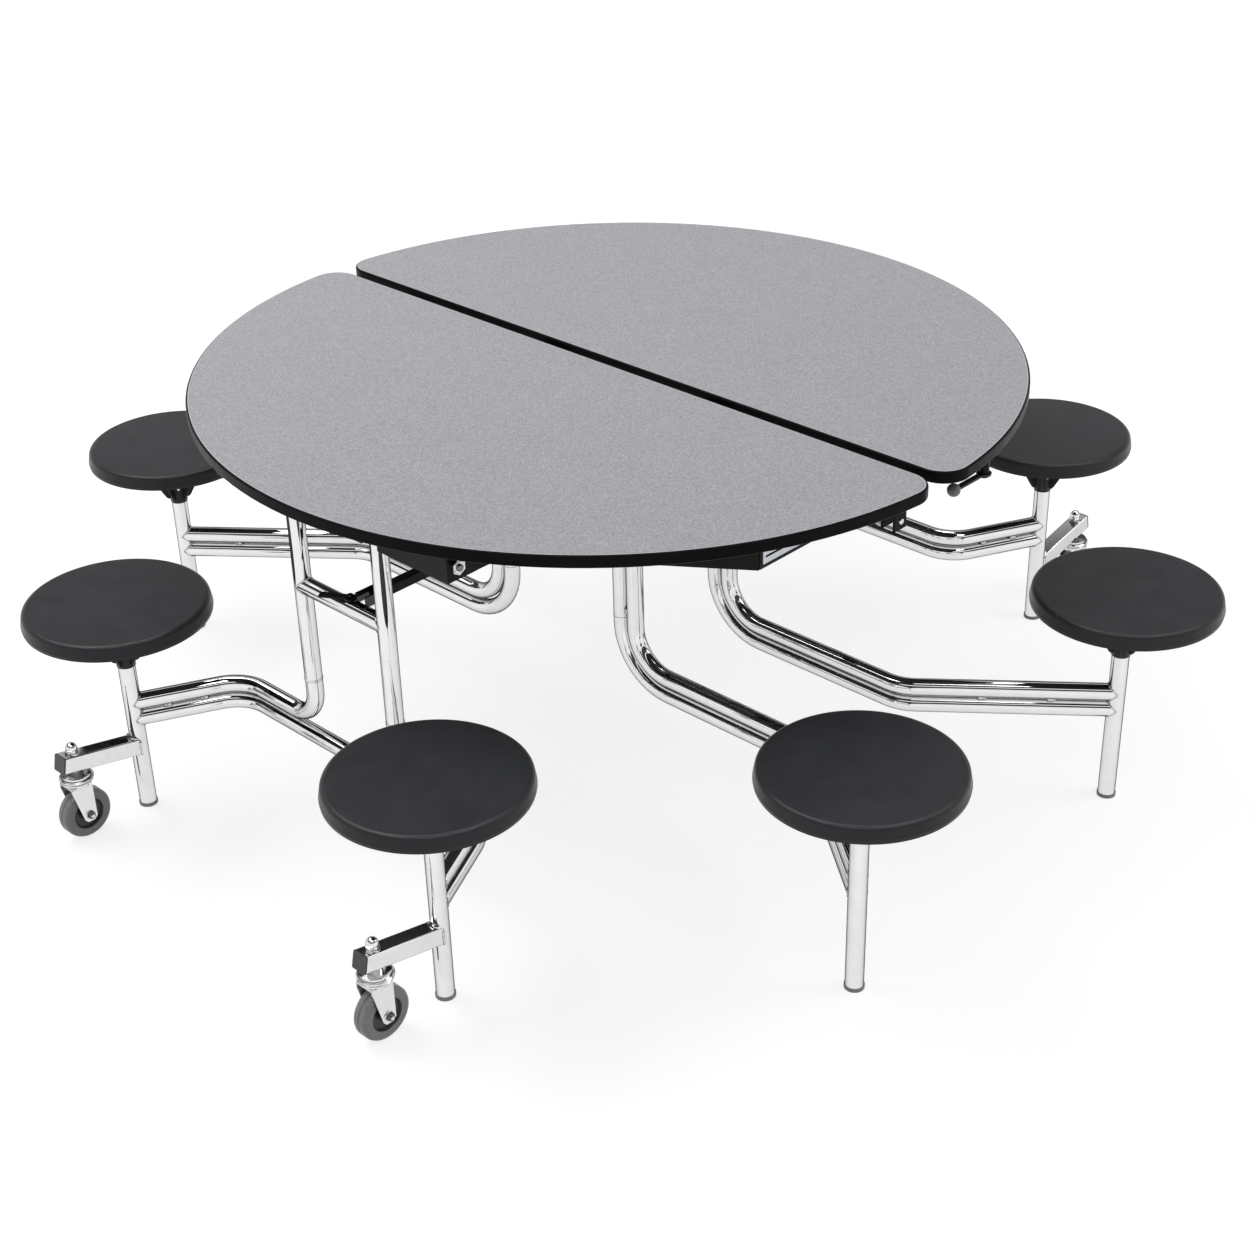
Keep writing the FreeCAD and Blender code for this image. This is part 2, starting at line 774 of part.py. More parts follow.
def caster_arm():
    """A square tube that rises outwards from a middle leg to its caster."""
    root_setback = as_size(8)
    length = S.arm_reach - S.cap_flange
    bar = square_bar("arm_bar", S.arm_square, -root_setback, length, S.arm_round)
    bore_side = S.arm_square - S.arm_wall * 2
    hollow = square_bar("arm_hollow", bore_side, S.tube_radius, length + 1, S.arm_round / 2)
    hole = rod("arm_hole", S.stem_radius + S.weld_gap, (S.middle_stool_across, caster_line, 0), S.seat_height)
    cope = rod("arm_cope", cope_radius, (*frame_leg, 0), S.seat_height)
    side = S.arm_square
    behind = box("arm_behind", (S.middle_stool_across - side, S.middle_stool_out - side, 0),
                 (S.middle_stool_across + side, S.middle_stool_out, S.seat_height))
    return both_sides("arms", cut("arm", bar, hollow, hole, cope, behind))


def arm_cap():
    """The plastic cap that closes the outer end of a caster arm."""
    tube_end = S.arm_reach - S.cap_flange
    snug = S.arm_square - S.arm_wall * 2 - S.weld_gap * 2
    flange = square_bar("cap_flange_bar", S.arm_square, tube_end, S.arm_reach, S.arm_round)
    spigot = square_bar("cap_spigot_bar", snug, tube_end - S.cap_spigot, tube_end + 1, S.arm_round / 2)
    return both_sides("caps", fuse("cap", flange, spigot))


def caster_stem():
    """The caster's kingpin: retaining collar, upper race, sloping seat, washer and domed nut."""
    x = S.middle_stool_across
    race_low = raceway_top + S.running_gap
    race_high = race_low + S.raceway_rim
    along = S.stem_reach / cos_tilt
    top_y, top_z = on_arm(along, as_size(0))
    shank_low = raceway_top - S.raceway_wall - S.collar_clear - S.collar_thickness
    shank = rod("stem_shank", S.stem_radius, (x, caster_line, shank_low), top_z - shank_low)
    collar = rod("stem_collar", S.collar_radius, (x, caster_line, shank_low), S.collar_thickness)
    race = rod("stem_race", S.raceway_radius - S.raceway_rim, (x, caster_line, race_low), S.raceway_rim)
    seat_blank = rod("stem_seat_blank", S.washer_radius, (x, caster_line, race_high - 1),
                     top_z - race_high)
    above_arm = square_bar("stem_seat_trim", S.arm_square * 2, as_size(0), S.arm_reach * 1.5, S.arm_round)
    place(above_arm, x - S.arm_square, *on_arm(as_size(0), S.arm_square), axis=(1, 0, 0),
          angle=S.arm_tilt.value - 90)
    seat_boss = cut("stem_seat", seat_blank, above_arm)
    washer = rod("stem_washer", S.washer_radius, (x, caster_line, top_z), S.washer_thickness)
    place(washer, x, top_y, top_z, axis=(1, 0, 0), angle=S.arm_tilt.value)
    nut = hexagon("stem_nut", S.nut_flats, (x, caster_line, top_z), S.nut_height, "z")
    nut_trim = square_bar("stem_nut_trim", S.arm_square, as_size(0), S.arm_reach * 1.5, S.arm_round)
    nut_cut = cut("stem_nut_cut", nut, nut_trim)
    dome = new("Part::Sphere", "stem_dome")
    bind(dome, Radius=S.dome_radius)
    place(dome, x, caster_line, top_z + S.nut_height + S.dome_radius / 2)
    return both_sides("stems", fuse("stem", shank, collar, race, seat_boss, washer, nut_cut, dome))


def pivot_shaft():
    """The shaft through both posts, with a hexagon head at each end of the channel."""
    reach = S.channel_reach + S.running_gap
    height = S.shaft_head_height
    flats = S.shaft_head_flats
    shaft = rod("shaft_rod", S.shaft_radius, (-reach, S.frame_line, S.pivot_height), reach * 2, "x")
    right = hexagon("shaft_head_right", flats, (reach, S.frame_line, S.pivot_height), height)
    left = hexagon("shaft_head_left", flats, (-reach - height, S.frame_line, S.pivot_height), height)
    return fuse("shaft", shaft, right, left)


def lock_lever():
    """The lock pedal on the crossbar: a flat blade that turns about an upright stud."""
    hub = rod("lock_hub", S.lock_hub_radius, (-S.lock_across, S.frame_line, lock_blade_z), S.lever_thickness)
    blade = new("Part::Box", "lock_blade")
    bind(blade, Length=S.lock_length, Width=S.lock_width, Height=S.lever_thickness)
    place(blade, -S.lock_across + S.stud_radius, S.frame_line - S.lock_width / 2, lock_blade_z,
          angle=S.lock_angle.value)
    bore = rod("lock_bore", stud_bore, (-S.lock_across, S.frame_line, lock_blade_z - 1),
               S.lever_thickness + 2)
    return cut("lock", fuse("lock_blank", hub, blade), bore)


# --- casters ------------------------------------------------------------------


def caster_fork():
    """Pressed fork: a ringed raceway over a crown and two tapered cheeks, with the axle bolt."""
    x = S.middle_stool_across
    inside = S.wheel_width / 2 + S.fork_clear
    outside = inside + S.fork_wall
    crown_bottom = crown_top - S.crown_thickness
    front = S.raceway_radius * 0.8
    axle_y = -S.caster_trail
    eye = S.fork_eye_radius
    back = axle_y - eye
    chamfer = eye / 2
    # Side outline about the kingpin: upright behind the axle, sloping down from the front.
    outline = [
        (back, crown_top),
        (back, axle_height - chamfer),
        (axle_y - chamfer, axle_height - eye),
        (axle_y + chamfer, axle_height - eye),
        (axle_y + eye, axle_height - chamfer),
        (front, crown_bottom - chamfer),
        (front, crown_top),
    ]
    cheeks = new_body("fork_cheeks")
    sketch = sketch_in(cheeks, "YZ_Plane", outline, "fork_outline")
    block = pad(cheeks, sketch, outside * 2, "fork_pad", centred=True)
    fillet(cheeks, block, S.fork_wall, upper_shoulders(crown_top, outside), "fork_shoulders")
    place(cheeks, x, caster_line, 0)
    slot = box("fork_slot", (x - inside, caster_line + back - 1, 0),
               (x + inside, caster_line + front + 1, crown_bottom))
    axle_start = caster_line - S.caster_trail
    axle = rod("fork_axle", S.axle_radius, (x - outside, axle_start, axle_height), outside * 2, "x")
    head = hexagon("fork_bolt_head", S.bolt_flats, (x + outside, axle_start, axle_height), S.bolt_height)
    nut = hexagon("fork_bolt_nut", S.bolt_flats, (x - outside - S.bolt_height, axle_start, axle_height),
                  S.bolt_height)
    bore = rod("fork_bore", S.collar_radius + 1.5, (x, caster_line, crown_bottom - 1),
               raceway_top - S.raceway_wall - crown_bottom + 1)
    top_bore = rod("fork_top_bore", S.stem_radius + S.running_gap, (x, caster_line, crown_bottom),
                   S.seat_height)
    frame = cut("fork_frame", fuse("fork_blank", cheeks, raceway(crown_bottom)), slot, bore, top_bore)
    return fuse("fork", frame, axle, head, nut)


def upper_shoulders(height, across):
    """A test for the two long top edges of the fork's block."""

    def test(edge):
        box_of = edge.BoundBox
        level = abs(box_of.ZMin - height.value) < 0.01 and abs(box_of.ZMax - height.value) < 0.01
        return level and abs(abs(box_of.XMin) - across.value) < 0.01 and box_of.XLength < 0.01

    return test


def raceway(crown_bottom):
    """The ball raceway of the fork: two pressed rings that narrow to the crown."""
    rim = S.raceway_radius
    step = S.raceway_rim
    top = raceway_top
    body = new_body("raceway")
    profile = [
        (0, top),
        (rim - step / 2, top),
        (rim, top - step / 2),
        (rim, top - step),
        (rim - step / 2, top - step * 1.5),
        (rim - step, top - step * 1.5),
        (rim - step / 2, top - step * 2),
        (rim - step / 2, top - step * 2.5),
        (rim - step * 1.5, top - step * 3),
        (rim - step * 2, crown_bottom),
        (0, crown_bottom),
    ]
    revolve(body, profile, "raceway_turned")
    return place(body, S.middle_stool_across, caster_line, 0)


def caster_wheel():
    """A solid rubber wheel with a grooved, rounded tread and a dished centre."""
    body = new_body("wheel")
    width = S.wheel_width
    half = width / 2
    bore = S.axle_radius + S.running_gap
    rim = S.wheel_radius
    shoulder = S.tread_round / 3
    groove = S.tread_groove / 2
    dish = S.dish_radius
    hub = S.wheel_hub_radius
    # Heights run across the wheel from one side face to the other.
    profile = [
        (bore, 0),
        (hub, 0),
        (hub + 1, S.dish_depth),
        (dish - 3, S.dish_depth),
        (dish, 0),
        (rim - S.tread_round, 0),
        (rim - shoulder, shoulder),
        (rim, S.tread_round),
        (rim, half - groove),
        (rim - groove, half),
        (rim, half + groove),
        (rim, width - S.tread_round),
        (rim - shoulder, width - shoulder),
        (rim - S.tread_round, width),
        (dish, width),
        (dish - 3, width - S.dish_depth),
        (hub + 1, width - S.dish_depth),
        (hub, width),
        (bore, width),
    ]
    revolve(body, profile, "wheel_turned")
    return place(body, S.middle_stool_across - half, caster_line - S.caster_trail, axle_height,
                 axis=(0, 1, 0), angle=90)


# --- stools -------------------------------------------------------------------


def seat():
    """Moulded stool: a shell with a turned-down rim, a ribbed underside and a bored hub."""
    body = new_body("seat")
    top = S.seat_height
    low = seat_bottom
    rim = S.seat_radius
    wall = S.seat_wall
    ceiling = bearing_top + S.running_gap
    profile = [
        (0, top),
        (rim - S.seat_draft, top),
        (rim, low + 6),
        (rim - 1, low),
        (rim - wall, low),
        (rim - S.seat_draft - wall, top - wall),
        (hub_radius, top - wall),
        (hub_radius, hub_bottom),
        (hub_bore, hub_bottom),
        (hub_bore, ceiling),
        (0, ceiling),
    ]
    shell = revolve(body, profile, "seat_shell")
    rounded = fillet(body, shell, S.seat_edge_round, circle_at(rim - S.seat_draft, top), "seat_rim_round")
    doc.recompute()
    # A rib from the hub out to the rim, deepest beside the hub.
    rib = [
        (hub_radius - S.hub_wall / 2, top - wall + 1),
        (hub_radius - S.hub_wall / 2, hub_bottom + 1),
        (hub_radius + 1, hub_bottom + 1),
        (S.hub_rib_radius, low - 1),
        (rim - 40, low + 12),
        (rim - wall - 3, low + 16),
        (rim - wall - 3, top - wall + 1),
    ]
    sketch = sketch_in(body, "XZ_Plane", rib, "seat_rib_outline")
    ribs = pad(body, sketch, S.rib_thickness, "seat_rib", centred=True)
    pattern = body.newObject("PartDesign::PolarPattern", "seat_ribs")
    pattern.Originals = [ribs]
    z_axis = [f for f in body.Origin.OriginFeatures if f.Role == "Z_Axis"][0]
    pattern.Axis = (z_axis, [""])
    pattern.Angle = 360
    bind(pattern, Occurrences=S.rib_count)
    body.Tip = pattern
    return body


# --- centre frame -------------------------------------------------------------


def stool_arm(name, height, riser_across, bend):
    """One tube of a stool arm: level from its leg to the seam, then up to the header."""
    plan = at_height([arm_leg, arm_corner, (riser_across, S.arm_line)], height)
    path = plan + [(riser_across, S.arm_line, S.riser_top)]
    tube = bent_tube(f"{name}_blank", path, [S.plan_bend, bend])
    one = coped(name, tube, *arm_leg)
    return four_corners(f"{name}_set", one)


def four_corners(name, piece):
    """A piece and its images in both middle planes."""
    right = group(f"{name}_right", piece, mirrored(f"{name}_front", piece, "y"))
    return group(name, right, mirrored(f"{name}_left", right, "x"))


def centre_yoke():
    """Headers on the risers, plates between the torsion bars, and the link crossbars."""
    eye = S.pivot_eye_radius
    thickness = S.yoke_plate_thickness
    plate_x = yoke_inside
    header_low = S.arm_line - S.header_width / 2
    header = box("header", (-plate_x, header_low, S.riser_top),
                 (plate_x, header_low + S.header_width, S.riser_top + S.header_height))
    strap = box("yoke_strap", (plate_x, -S.inner_pivot_line, S.pivot_height - eye),
                (plate_x + thickness, S.inner_pivot_line, S.pivot_height + eye))
    ends = [(plate_x, S.inner_pivot_line * side, S.pivot_height) for side in (-1, 1)]
    eyes = [rod("yoke_eye", eye, end, thickness, "x") for end in ends]
    bores = [rod("yoke_bore", S.torsion_bar_radius + S.weld_gap, (plate_x - 1, *end[1:]), thickness + 2, "x")
             for end in ends]
    bored = cut("yoke_bored", fuse("yoke_plate", strap, *eyes), *bores)
    bar_far = S.arm_line - cope_radius
    bar_half = S.link_bar_side / 2
    bar_reach = outer_riser_across + S.link_bar_overhang
    bar = box("link_bar", (-bar_reach, bar_far - S.link_bar_side, S.crossbar_height - bar_half),
              (bar_reach, bar_far, S.crossbar_height + bar_half))
    # The pivot that meets the rear frame's link is on the -X side.
    ears = link_ears("centre_ears", -S.link_across, bar_far - bar_half,
                     S.frame_line - S.link_pivot_offset - link_length)
    rear = group("yoke_rear", header, fuse("link_bar_ears", bar, ears))
    front = group("yoke_front", rear)
    place(front, angle=180)
    return group("yoke", fuse("yoke_frame", rear, front, bored, mirrored("yoke_plate_image", bored, "x")))


def torsion_bars():
    """The round bars that the half tops hinge on."""
    reach = S.torsion_bar_reach
    bar = rod("torsion_bar", S.torsion_bar_radius, (-reach, S.inner_pivot_line, S.pivot_height),
              reach * 2, "x")
    return both_sides("torsion_bars_pair", bar, "y")


def link():
    """A pressed channel that keeps an outer frame upright while the table folds."""
    far = S.frame_line - S.link_pivot_offset
    near = far - link_length
    half = S.link_width / 2
    low_x = -S.link_across - half
    eye = S.link_depth / 2
    height = S.link_pivot_height
    blank = fuse("link_blank",
                 box("link_bar_body", (low_x, near, height - eye), (low_x + S.link_width, far, height + eye)),
                 rod("link_far_eye", eye, (low_x, far, height), S.link_width, "x"),
                 rod("link_near_eye", eye, (low_x, near, height), S.link_width, "x"))
    hollow = box("link_hollow",
                 (low_x + S.link_wall, near - S.link_depth, height - eye - 1),
                 (low_x + S.link_width - S.link_wall, far + S.link_depth, height + eye - S.link_wall))
    bores = [rod("link_bore", S.link_pin_radius + S.running_gap, (low_x - 1, y, height),
                 S.link_width + 2, "x") for y in (near, far)]
    return cut("link", blank, hollow, *bores)


# --- every sub-part, named and placed ------------------------------------------

nodes = []


def name_node(label, shape, angle=0):
    """A named sub-part: a piece in its place, or turned about the table's upright axis."""
    part = group(label, shape)
    part.Label = label
    place(part, 0, 0, 0, angle=angle)
    nodes.append(part)


# Everything of an outer half is drawn at the rear and turned half round for the front.
HALVES = (("front", 180), ("rear", 0))

board, _ = half_disc("board", S.edge_width, top_underside, laminate_bottom)
laminate, _ = half_disc("laminate", S.edge_width, laminate_bottom, S.top_height)
half_pieces = {
    "tabletop_core": board,
    "laminate_sheet": laminate,
    "edge_band": edge_band(),
    "apron_plates": apron(),
    "pivot_channel": pivot_channel(),
    "hinge_lugs": group("lugs_and_stud", hinge_lugs(), lever_stud(), bumper()),
    "latch_plates": latch_plates(),
    "release_lever": release_lever(),
    "base_tube": base_tube(),
    "post_tubes": post_tubes(),
    "legs": both_sides("frame_legs", upright_leg("frame_leg", *frame_leg)),
    "leg_plugs": both_sides("frame_plugs", leg_plug("frame_plug", *frame_leg)),
    "caster_arms": caster_arm(),
    "arm_caps": arm_cap(),
    "caster_stems": caster_stem(),
    "pivot_shaft": pivot_shaft(),
    "lock_lever": lock_lever(),
    "fold_link": link(),
}
for half, angle in HALVES:
    for piece_name, piece in half_pieces.items():
        name_node(f"{half}_{piece_name}", piece, angle)

caster_pieces = {"caster_fork": caster_fork(), "caster_wheel": caster_wheel()}
for piece_name, piece in caster_pieces.items():
    image = mirrored(f"{piece_name}_image", piece, "x")
    name_node(f"rear_right_{piece_name}", piece)
    name_node(f"rear_left_{piece_name}", image)
    name_node(f"front_left_{piece_name}", piece, 180)
    name_node(f"front_right_{piece_name}", image, 180)

stool = seat()
STOOLS = (
    ("seat_rear_right", S.middle_stool_across, S.middle_stool_out),
    ("seat_rear_left", -S.middle_stool_across, S.middle_stool_out),
    ("seat_front_right", S.middle_stool_across, -S.middle_stool_out),
    ("seat_front_left", -S.middle_stool_across, -S.middle_stool_out),
    ("seat_right_rear", S.seam_stool_across, S.seam_stool_out),
    ("seat_left_rear", -S.seam_stool_across, S.seam_stool_out),
    ("seat_right_front", S.seam_stool_across, -S.seam_stool_out),
    ("seat_left_front", -S.seam_stool_across, -S.seam_stool_out),
)
for label, x, y in STOOLS:
    copy = group(label, stool)
    copy.Label = label
    place(copy, x, y, 0)
    nodes.append(copy)

name_node("stool_arms_upper", stool_arm("upper_arm", upper_tube_height, outer_riser_across, S.arm_bend))
name_node("stool_arms_lower", stool_arm("lower_arm", S.lower_tube_height, S.inner_riser_across,
                                        S.arm_bend + tube_spacing))
name_node("stool_legs", four_corners("stool_legs_set", upright_leg("stool_leg", *arm_leg)))
name_node("stool_leg_plugs", four_corners("stool_plugs_set", leg_plug("stool_plug", *arm_leg)))
name_node("centre_yoke", centre_yoke())
name_node("torsion_bars", torsion_bars())

doc.recompute()

faults = [o.Name for o in doc.Objects if {"Invalid", "Error"} & set(o.State)]
for part in nodes:
    if part.Shape.isNull() or not part.Shape.isValid() or not part.Shape.Solids:
        faults.append(part.Label)
if faults:
    sys.exit(f"failed objects: {faults}")

os.makedirs("parts", exist_ok=True)
for part in nodes:
    part.Shape.exportStep(f"parts/{part.Label}.step")
print(f"{len(nodes)} sub-parts, {sum(len(p.Shape.Solids) for p in nodes)} solids")
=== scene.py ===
import json
import math

import bmesh
import bpy
from mathutils import Matrix, Vector


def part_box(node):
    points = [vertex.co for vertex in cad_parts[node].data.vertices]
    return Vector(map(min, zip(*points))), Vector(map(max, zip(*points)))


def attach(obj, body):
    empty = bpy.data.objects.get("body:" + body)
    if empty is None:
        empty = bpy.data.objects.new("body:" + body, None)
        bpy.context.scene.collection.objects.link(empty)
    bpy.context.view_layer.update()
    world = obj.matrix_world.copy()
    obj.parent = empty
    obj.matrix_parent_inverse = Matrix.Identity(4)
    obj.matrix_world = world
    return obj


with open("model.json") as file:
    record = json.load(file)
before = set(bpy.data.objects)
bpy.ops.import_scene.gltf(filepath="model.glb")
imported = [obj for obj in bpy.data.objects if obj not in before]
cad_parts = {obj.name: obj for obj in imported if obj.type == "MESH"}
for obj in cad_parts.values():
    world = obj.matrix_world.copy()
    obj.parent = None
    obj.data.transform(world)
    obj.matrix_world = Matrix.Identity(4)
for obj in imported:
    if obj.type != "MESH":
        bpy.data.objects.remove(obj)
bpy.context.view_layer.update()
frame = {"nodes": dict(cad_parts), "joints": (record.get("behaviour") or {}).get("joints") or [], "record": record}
nodes = frame["nodes"]

MM = 0.001
HALVES = (("front", -1), ("rear", 1))
CORNERS = (
    ("rear_right", 1, 1),
    ("rear_left", -1, 1),
    ("front_right", 1, -1),
    ("front_left", -1, -1),
)

# Places and sizes read from the frame, for one of each; the others mirror them.
PLACES = {joint["name"]: Vector(joint["pos_m"]) for joint in frame["joints"]}
MIDDLE_LEG = PLACES["seat_rear_right_swivel"]
SEAM_LEG = PLACES["seat_right_rear_swivel"]
AXLE = PLACES["rear_right_wheel_spin"]
STEM_LINE = PLACES["rear_right_caster_swivel"].y
PIVOT = PLACES["rear_top_to_frame"]
LINK_X = PLACES["front_link_pivot"].x
CHANNEL_LOW, CHANNEL_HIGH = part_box("rear_pivot_channel")
NUT_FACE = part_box("rear_pivot_shaft")[1].x
SKIRT_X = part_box("rear_apron_plates")[1].x
SEAT_HUB_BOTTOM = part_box("seat_rear_right")[0].z
TOP_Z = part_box("rear_edge_band")[1].z
TOP_UNDERSIDE = CHANNEL_HIGH.z

# Sizes repeated from the CAD model.
TUBE = 15.9 * MM
UPPER_TUBE_Z = 221.2 * MM
LOWER_TUBE_Z = 187 * MM
FRAME_CORNER = Vector((322, 650, 0)) * MM
ARM_CORNER = Vector((595, 130, 0)) * MM
RISERS = (148 * MM, 182.2 * MM)
RISER_LINE = 130 * MM
POST_X = 110 * MM
CROSSBAR_Z = 500 * MM
ARM_TOP = 147 * MM
ARM_SIDE = 32 * MM
ARM_TILT = math.radians(12)
SKIRT_BEND = 312 * MM
SKIRT_START = 548 * MM
LAMINATE_RADIUS = 758 * MM
LAMINATE_SEAM = 14.5 * MM
LAMINATE_CORNER = 46 * MM
FORK_SIDE = 20.5 * MM


# --- materials ------------------------------------------------------------------

# The tint that plated metal takes towards its outline; black darkens it there.
METAL_EDGE = (0.0, 0.0, 0.0)
CHROME = (0.8, 0.8, 0.805)
ZINC = (0.8, 0.805, 0.81)
DARK_STEEL = (0.06, 0.06, 0.063)
DARK_ZINC = (0.16, 0.16, 0.165)

# Where one sub-part changes from one material to another.
TYRE_START = 29 * MM
BACKING_TOP = TOP_UNDERSIDE + 0.2 * MM
GRIP_END = 86.6 * MM
STOP_START = 698 * MM
BRACKET_REACH = 69 * MM
EAR_REACH = 14.6 * MM
STUD_START = 20 * MM
BRACKET_BOTTOM = 516.2 * MM
BRACKET_INSIDE = 633.2 * MM
AXLE_BOLT_TOP = 60 * MM


class Shader:
    """A node material round one Principled shader, with short helpers."""

    def __init__(self, name, colour, roughness, metallic=0.0, specular=0.5, edge=(1, 1, 1)):
        self.material = bpy.data.materials.new(name)
        self.material.use_nodes = True
        self.tree = self.material.node_tree
        self.bsdf = self.tree.nodes["Principled BSDF"]
        self.bsdf.inputs["Base Color"].default_value = (*colour, 1)
        self.bsdf.inputs["Roughness"].default_value = roughness
        self.bsdf.inputs["Metallic"].default_value = metallic
        self.bsdf.inputs["Specular IOR Level"].default_value = specular
        self.bsdf.inputs["Specular Tint"].default_value = (*edge, 1)
        self.coords = self.add("ShaderNodeTexCoord").outputs["Object"]

    def add(self, kind, **settings):
        node = self.tree.nodes.new(kind)
        for key, value in settings.items():
            setattr(node, key, value)
        return node

    def link(self, output, socket):
        self.tree.links.new(output, socket)

    def feed(self, value, socket):
        """Give a socket another node's output, a colour or a number."""
        if isinstance(value, bpy.types.NodeSocket):
            self.link(value, socket)
        elif isinstance(value, tuple):
            socket.default_value = (*value, 1)
        else:
            socket.default_value = value

    def noise(self, scale, detail, roughness=0.5):
        node = self.add("ShaderNodeTexNoise")
        node.inputs["Scale"].default_value = scale
        node.inputs["Detail"].default_value = detail
        node.inputs["Roughness"].default_value = roughness
        self.link(self.coords, node.inputs["Vector"])
        return node.outputs["Fac"]

    def ramp(self, value, stops):
        node = self.add("ShaderNodeValToRGB")
        elements = node.color_ramp.elements
        while len(elements) < len(stops):
            elements.new(0.5)
        for element, (position, colour) in zip(elements, stops):
            element.position = position
            element.color = (*colour, 1)
        self.link(value, node.inputs["Fac"])
        return node.outputs["Color"]

    def map_range(self, value, low, high, new_low, new_high):
        node = self.add("ShaderNodeMapRange")
        node.inputs["From Min"].default_value = low
        node.inputs["From Max"].default_value = high
        node.inputs["To Min"].default_value = new_low
        node.inputs["To Max"].default_value = new_high
        self.link(value, node.inputs["Value"])
        return node.outputs["Result"]

    def rise(self, value, start, width):
        """A mask that goes from 0 to 1 as the value passes a place."""
        return self.map_range(value, start, start + width, 0, 1)

    def fall(self, value, start, width):
        """A mask that goes from 1 to 0 as the value passes a place."""
        return self.map_range(value, start, start + width, 1, 0)

    def mix(self, factor, first, second):
        node = self.add("ShaderNodeMix", data_type="RGBA")
        sockets = {s.identifier: s for s in node.inputs}
        self.feed(factor, sockets["Factor_Float"])
        self.feed(first, sockets["A_Color"])
        self.feed(second, sockets["B_Color"])
        return [o for o in node.outputs if o.identifier == "Result_Color"][0]

    def math(self, operation, *values):
        node = self.add("ShaderNodeMath", operation=operation)
        for socket, value in zip(node.inputs, values):
            self.feed(value, socket)
        return node.outputs[0]

    def axes(self):
        """The place on the object: its distance across, its distance out and its height."""
        node = self.add("ShaderNodeSeparateXYZ")
        self.link(self.coords, node.inputs[0])
        across = self.math("ABSOLUTE", node.outputs["X"])
        out = self.math("ABSOLUTE", node.outputs["Y"])
        return across, out, node.outputs["Z"]

    def colour(self, output):
        self.link(output, self.bsdf.inputs["Base Color"])

    def rough(self, output):
        self.link(output, self.bsdf.inputs["Roughness"])

    def bump(self, height, strength, distance):
        node = self.add("ShaderNodeBump")
        node.inputs["Strength"].default_value = strength
        node.inputs["Distance"].default_value = distance
        self.link(height, node.inputs["Height"])
        self.link(node.outputs["Normal"], self.bsdf.inputs["Normal"])


def laminate():
    """Grey laminate: a fine speckle over a faint cloud."""
    shader = Shader("grey_laminate", (0.36, 0.358, 0.385), 0.45, specular=0.4)
    fine = shader.noise(420, 2, 0.7)
    speckle = shader.ramp(fine, [
        (0.34, (0.2, 0.198, 0.222)),
        (0.5, (0.375, 0.373, 0.4)),
        (0.66, (0.565, 0.562, 0.59)),
    ])
    cloud = shader.ramp(shader.noise(14, 4, 0.65), [
        (0.3, (0.35, 0.348, 0.375)),
        (0.7, (0.385, 0.383, 0.41)),
    ])
    shader.colour(shader.mix(0.35, speckle, cloud))
    shader.rough(shader.map_range(shader.noise(60, 3), 0.3, 0.7, 0.4, 0.5))
    shader.bump(fine, 0.06, 0.0002)
    return shader.material


def moulded(name, dark, light, smooth, rough, grain, depth, specular=0.5):
    """Moulded plastic or rubber: a fine pebbled skin with a little variation in colour."""
    shader = Shader(name, dark, rough, specular=specular)
    grains = shader.noise(grain, 2, 0.55)
    cloud = shader.noise(22, 3, 0.6)
    shader.colour(shader.ramp(cloud, [(0.3, dark), (0.72, light)]))
    shader.rough(shader.map_range(cloud, 0.3, 0.7, smooth, rough))
    shader.bump(grains, 0.35, depth)
    return shader.material


def plated(name, colour, smooth, rough, wear=40, grain=None, dark_place=None, dark=None):
    """Plated metal with faint polishing marks; "dark_place" gives the mask of a darker part."""
    shader = Shader(name, colour, smooth, metallic=1.0, edge=METAL_EDGE)
    darker = tuple(c * 0.96 for c in colour)
    plate = shader.ramp(shader.noise(wear, 3, 0.6), [(0.35, darker), (0.6, colour)])
    if dark_place:
        plate = shader.mix(dark_place(shader), plate, dark)
    shader.colour(plate)
    shader.rough(shader.map_range(shader.noise(wear * 3, 4, 0.7), 0.3, 0.75, smooth, rough))
    if grain:
        shader.bump(shader.noise(grain, 3, 0.6), 0.2, 0.0001)
    return shader.material


def wheel_rubber():
    """Grey rubber tyre round a darker dished centre, told apart by the distance from the axle."""
    shader = Shader("caster_rubber", (0.15, 0.15, 0.148), 0.35, specular=0.4)
    _, out, height = shader.axes()
    back = shader.math("SUBTRACT", out, AXLE.y)
    above = shader.math("SUBTRACT", height, AXLE.z)
    back_square = shader.math("MULTIPLY", back, back)
    above_square = shader.math("MULTIPLY", above, above)
    distance = shader.math("SQRT", shader.math("ADD", back_square, above_square))
    rim = shader.rise(distance, TYRE_START, 2 * MM)
    cloud = shader.noise(70, 3, 0.6)
    tyre = shader.ramp(cloud, [(0.3, (0.22, 0.219, 0.215)), (0.7, (0.27, 0.268, 0.262))])
    centre = shader.ramp(cloud, [(0.3, (0.02, 0.02, 0.021)), (0.7, (0.035, 0.035, 0.036))])
    shader.colour(shader.mix(rim, centre, tyre))
    shader.rough(shader.map_range(cloud, 0.3, 0.7, 0.28, 0.4))
    shader.bump(shader.noise(500, 2, 0.5), 0.12, 0.0002)
    return shader.material


